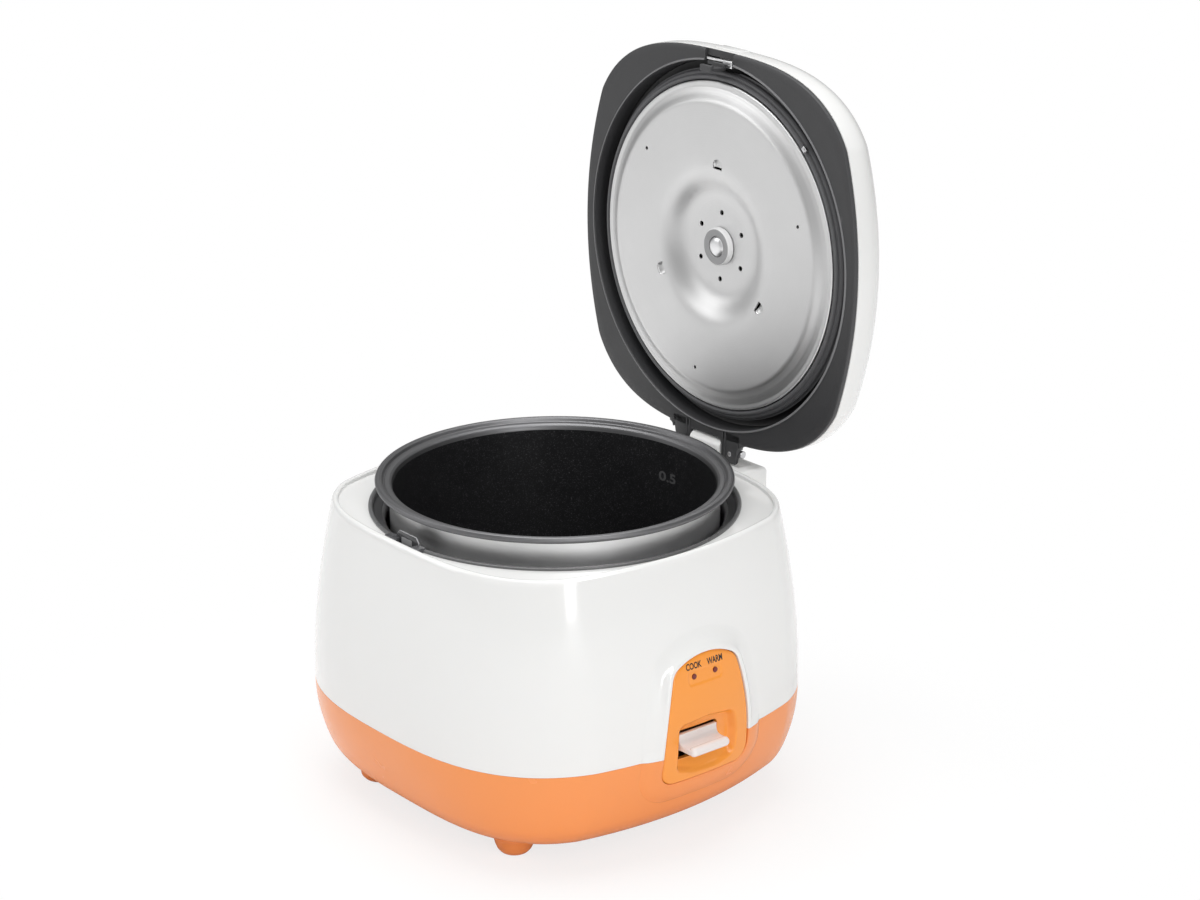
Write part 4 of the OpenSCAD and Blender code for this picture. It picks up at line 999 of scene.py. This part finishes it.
def collar():
    """Ring round the mouth: an outer bead painted paler as a highlight, a dark step, and an inner wall
    painted paler as light falling on it.
    """
    c, z, i = COLLAR_R, DECK_Z, COLLAR_IN
    prof = rounded([(c, z + 0.05), (c, z + 1.0), (c - 0.7, z + 1.35), (c - 1.6, z + 1.3), (c - 2.2, z + 0.5),
                    (c - 2.4, z - 0.9), (c - 3.0, z - 1.9), (i + 1.6, z - 2.6), (i + 0.5, z - 4.2),
                    (i, z - 5.2), (i, z - 8.2), (i + 1.2, z - 8.2), (i + 1.2, z - 5.6), (c - 3.4, z - 3.8),
                    (c - 1.8, z - 2.4), (c - 1.8, z + 0.05)],
                   [0.1, 0.5, 0.5, 0.5, 0.5, 0.5, 0.6, 1.0, 1.0, 0.6, 0.2, 0.2, 0.2, 0.3, 0.3, 0.1], 4)
    # Bead faces take the paler lip grey, a painted highlight; inner-wall faces take the paler wall grey,
    # painted light.
    marks = [1 if r > c - 2.45 and h > z - 0.4 else 2 if r < i + 1.0 else 0 for r, h in middles(prof)]
    notch = box_mesh((-c - 3, -NOTCH_HALF, z - 12), (-c + 5.6, NOTCH_HALF, z + 6))
    mesh = boolean(revolve_mesh(prof, 288, marks=marks), [notch])
    place(smooth(mesh, 35), "deck_collar", "body", "collar_grey", "collar lip inner_wall", "collar_ring")


def hinge_block():
    """Rear housing, the sleeve between the arms and its webs, and the pin through them."""
    low, back, top = DECK_Z - 38, HINGE.x + 9, HINGE.z - 5.4
    arm_room, arm_half = 7.2, 7.6
    prof = [(half_at(min(z, LIP_Z)) - 1.2, z) for z in np.linspace(low, top, 9)]
    prof += [(back - 2, top), (back, top - 2), (back, top - 12)]
    cuts = []
    for y in (HINGE_SHIFT - ARM_MID, HINGE_SHIFT + ARM_MID):
        cuts.append(prism_mesh(circle(HINGE.x, HINGE.z, arm_room, 64), y - arm_half, y + arm_half))
    mesh = boolean(bevel(prism_mesh(prof, -31, 31), 1.2, 4, 30), cuts)
    place(smooth(mesh, 32), "hinge_housing", "body", "white_shell", "white")
    first, last = -8.9, 13.9
    tube = [(2.05, first), (5.1, first), (5.6, first + 0.5), (5.6, last - 0.5), (5.1, last), (2.05, last),
            (2.05, 4.8), (4.7, 4.8), (4.7, -4.8), (2.05, -4.8)]
    sleeve = revolve_mesh(tube, 72)
    sleeve.transform(ALONG_HINGE)
    place(smooth(sleeve, 40), "hinge_sleeve", "body", "white_shell", "white")
    for tag, y0, y1 in (("a", first + 0.4, -5.4), ("b", 5.4, last - 0.4)):
        web = box_mesh((HINGE.x - 4.5, y0, top - 1), (HINGE.x + 4.5, y1, HINGE.z - 2.2))
        place(web, f"sleeve_web_{tag}", "body", "white_shell", "white")
    rod = [(AXIS, -22.4), (1.7, -22.4), (2.0, -22.1), (2.0, 27.4), (1.7, 27.7), (AXIS, 27.7)]
    pin = revolve_mesh(rod, 40, closed=False)
    pin.transform(ALONG_HINGE)
    place(smooth(pin, 40), "hinge_rod", "body", "steel", "steel", "hinge_pin")


# ---------------------------------------------------------------- small pieces

def switch_key():
    """Thumb key: back plate in the window, a shelf coming forward and its full round lip."""
    left, right, face = KEY_LEFT + 0.5, KEY_RIGHT - 2.2, PANEL_FACE - 2.2
    low, high, mid = KEY_LOW + 6.4, KEY_HIGH - 1.0, KEY_LOW + 7.9
    prof = [(-2.0, low), (-2.0, high), (0, high), (0, mid + 4.2), (0.3, mid + 2.8), (1.1, mid + 1.8),
            (2.6, mid + 1.3), (8.0, mid + 1.2), (8.0, mid - 1.2), (1.0, mid - 1.2), (0.0, low)]
    rings = [np.array([(x, -face - out, z) for out, z in prof]) for x in (left, right)]
    plate = bevel(outward(tube_mesh(rings, caps=True)), 0.3, 2, 50)
    r = 2.4
    ends = [(r * math.sin(t), r * (1 - math.cos(t))) for t in np.radians(np.linspace(2, 90, 10))]
    line = [(a, left + 0.1 + b) for a, b in ends] + [(a, right + 0.3 - b) for a, b in ends[::-1]]
    lip = revolve_mesh(line, 48, closed=False)
    lip.transform(Matrix.Translation((0, -face - 8, mid)) @ Matrix.Rotation(math.radians(90), 4, "Y"))
    mesh = smooth(joined(plate, smooth(lip, 40)), 40)
    place(mesh, "thumb_key", "cook_switch", "key_white", "key", "switch_key")


def lettering(word, name, width, height, spot, body, slot, mat):
    """Plain word whose points (across, up) in mm from its middle are laid down by spot."""
    curve = bpy.data.curves.new(name, "FONT")
    curve.body, curve.resolution_u, curve.offset = word, 4, 0.028
    obj = loose(curve, name)
    bpy.context.view_layer.update()
    mesh = bpy.data.meshes.new_from_object(obj.evaluated_get(bpy.context.evaluated_depsgraph_get()))
    bpy.data.objects.remove(obj)
    co = np.array([v.co for v in mesh.vertices])
    low, high = co.min(0), co.max(0)
    for v, c in zip(mesh.vertices, co):
        across, up = (c - low)[:2] / (high - low)[:2] - 0.5
        v.co = spot(across * width, up * height)
    mesh.materials.clear()
    place(mesh, name, body, slot, mat)


def printing():
    """The two lamp words on the panel and the level mark on the pot's wall."""
    def on_panel(x, z):
        return lambda a, b: (x + a, -panel_y(x + a, z + b) - 0.05, z + b)

    def on_pot(a, b):
        t, r = math.radians(5.0) - a / POT_R, POT_R - 0.06
        return (r * math.cos(t), r * math.sin(t), 141.6 + b)

    cook, warm = (on_panel(x + 0.2, z) for x, z in zip(LAMPS, (99.4, 99.2)))
    lettering("COOK", "print_cook", 9.6, 3.3, cook, "body", "orange_panel", "ink")
    lettering("WARM", "print_warm", 10.0, 3.3, warm, "body", "orange_panel", "ink")
    lettering("0.5", "pot_level_mark", 12.0, 5.4, on_pot, "pot", "pot_coating", "mark")


def keeper():
    """The catch in the collar: its own solid, an eight-sided wall with its edge painted paler as a highlight,
    and the pad.
    """
    catch = dress("latch_catch", "catch", 0.00025, 2)
    for v in catch.data.vertices:
        v.co.z = min(v.co.z, (LID_Z - 0.8) * MM)
    x0, low, high = -90.75, DECK_Z - 3.4, DECK_Z + 5.2
    right = [(6.6, low), (8.7, low + 2.4), (8.7, high - 2.4), (6.6, high)]
    left = [(-y, z) for y, z in right[::-1]]
    eight = left[2:] + right + left[:2]
    # The second layer stands a little proud of the wall all round in a paler grey: a painted highlight on the
    # rim.
    layers = (("keeper_wall.001", 0.0, 0.0, "catch"), ("keeper_edge_highlight.001", 0.08, 0.14, "edge"))
    for name, dx, grow, mat in layers:
        pts = [(y * (1 + grow / 9), z + grow * (1 if z > DECK_Z + 1 else -1)) for y, z in eight]
        rings = [[(x, y, z) for y, z in pts] for x in (x0 + dx, x0 + 0.75 - dx)]
        place(bevel(tube_mesh(rings, caps=True), 0.12, 2, 40), name, "body", "collar_grey", mat)
    pad = box_mesh((x0 - 0.15, -3.4, DECK_Z - 2.4), (x0 + 0.1, 4.6, DECK_Z + 2.6))
    place(pad, "keeper_pad", "body", "collar_grey", "bush")


def latch_parts():
    """The keeper, the bright hook, the push button and the steam cap."""
    keeper()
    dress("latch_hook", "frame", 0.00025, 2)
    z = LID_Z + 0.1
    for name, low, high in (("hook_bar.001", (-96.2, -9.3, z), (-95.0, 9.4, z + 1.6)),
                            ("hook_tab.001", (-96.4, -9.3, z - 0.05), (-94.0, -2.6, z + 0.9)),
                            ("hook_turn.001", (-95.2, -9.3, z - 0.05), (-92.8, -7.6, z + 1.2))):
        place(soft_box(low, high, 0.3, 3), name, "latch", "collar_grey", "bright")
    face = soft_box((-LID_HALF - 0.15, -9.6, LID_Z + 5.8), (-LID_HALF + 1.3, 9.6, LID_Z + 12.4), 0.5, 4)
    stalk = box_mesh((-LID_HALF + 1.0, -6, LID_Z + 6.2), (-LID_HALF + 5.8, 6, LID_Z + 8.2))
    mesh = smooth(joined(face, stalk), 40)
    place(mesh, "push_button", "latch", "white_shell", "white", "latch_button")
    dress("steam_cap", "white", 0.0005, 3)


# ---------------------------------------------------------------- camera, light, stage

def camera():
    """Camera at the photo's viewpoint, moved across and up so that the object falls where it does there."""
    yaw, pitch = math.radians(-39.68), math.radians(19.52)
    far, across, height = 1542.5, 22.39, 166.55
    right = Vector((math.cos(yaw), math.sin(yaw), 0))
    back = Vector((math.sin(yaw) * math.cos(pitch), -math.cos(yaw) * math.cos(pitch), math.sin(pitch)))
    up = back.cross(right)
    cam = bpy.data.cameras.new("camera")
    cam.lens, cam.sensor_width, cam.clip_end = 90.0, 36.0, 30.0
    obj = loose(cam, "camera")
    where = (right * across + up * height + back * far) * MM
    turn = Matrix((right, up, back)).transposed().to_4x4()
    obj.matrix_world = Matrix.Translation(where) @ turn
    bpy.context.scene.camera = obj


def area(name, where, target, size, power):
    """Rectangular light aimed at a target."""
    light = bpy.data.lights.new(name, "AREA")
    light.shape = "RECTANGLE"
    light.size, light.size_y, light.energy = size[0], size[1], power
    obj = loose(light, name)
    obj.location = where
    obj.rotation_euler = (Vector(target) - Vector(where)).to_track_quat("-Z", "Y").to_euler()


def studio(ambient=0.3):
    """White all round: full white where the camera sees it, dim where it lights the object."""
    world = bpy.data.worlds.new("studio")
    bpy.context.scene.world = world
    n = Nodes(world)
    path = n.add("ShaderNodeLightPath").outputs
    seen = n.calc("MAXIMUM", path["Is Camera Ray"], path["Is Transmission Ray"])
    strength = n.feed(n.add("ShaderNodeMix"), {0: seen, 2: ambient, 3: 1.0}).outputs[0]
    n.feed(n.tree.nodes["Background"], {"Color": (1, 1, 1, 1), "Strength": strength})


def floor(half=6.0):
    """White floor that takes shadows near the object and fades to plain white away from it."""
    corners = [(-half, -half, 0), (half, -half, 0), (half, half, 0), (-half, half, 0)]
    obj = loose(new_mesh(corners, [(0, 1, 2, 3)]), "floor")
    n = Nodes(bpy.data.materials.new("floor_white"))
    n.feed(n.shader, {"Base Color": (0.92, 0.92, 0.92, 1), "Roughness": 0.7, "Specular IOR Level": 0.1})
    spot = n.add("ShaderNodeNewGeometry").outputs["Position"]
    far = n.feed(n.add("ShaderNodeVectorMath", operation="LENGTH"), {0: spot}).outputs["Value"]
    fade = n.remap(far, 0.78, 1.0, 0.10, 0.34, interpolation_type="SMOOTHSTEP")
    share = n.calc("MULTIPLY", n.add("ShaderNodeLightPath").outputs["Is Camera Ray"], fade)
    glow = n.add("ShaderNodeEmission").outputs[0]
    blend = n.feed(n.add("ShaderNodeMixShader"), {0: share, 1: n.shader.outputs[0], 2: glow}).outputs[0]
    n.feed(n.tree.nodes["Material Output"], {"Surface": blend})
    obj.data.materials.append(n.owner)


def stage():
    studio()
    floor()
    area("key", (-1.0, -1.5, 1.5), (0, 0, 0.12), (1.3, 1.3), 8)
    area("strip", (-0.42, -1.75, 0.75), (0, 0, 0.15), (0.32, 1.4), 10)
    area("top", (0.0, 0.2, 2.2), (0, 0, 0.1), (1.8, 1.8), 40)
    area("plate", (-1.3, 1.2, 0.95), (0.1, 0.0, 0.27), (1.0, 1.0), 6.5)
    bpy.context.scene.view_settings.view_transform = "Standard"


camera()
stage()
outer_shell()
base_shell()
bezel()
control_panel()
inner_pot()
lid_shell()
lid_frame()
inner_plate()
plate_bits()
collar()
hinge_block()
switch_key()
printing()
latch_parts()

# CAD nodes that keep their own shape and only take a finished material.
PLAIN = {
    "lamp": ["cook_lamp_lens", "warm_lamp_lens"], "black": ["cord_gland"],
    "ivory": ["heater_posts", "contact_block", "terminal_block", "thermal_fuse"], "board": ["lamp_board"],
    "duct": ["steam_duct"], "cast": ["heating_plate"], "ferrite": ["ferrite_disc", "magnet_rod"],
    "spring": ["thermostat_spring", "hinge_spring", "latch_spring"],
    "steel": ["inner_can", "thermostat_guide", "thermostat_cap", "switch_bracket", "switch_arm", "switch_pin",
              "base_screws", "lid_screws", "latch_pin"],
}
for key, names in PLAIN.items():
    for name in names:
        data = frame["nodes"][name].data
        data.materials.clear()
        data.materials.append(MAT[key])
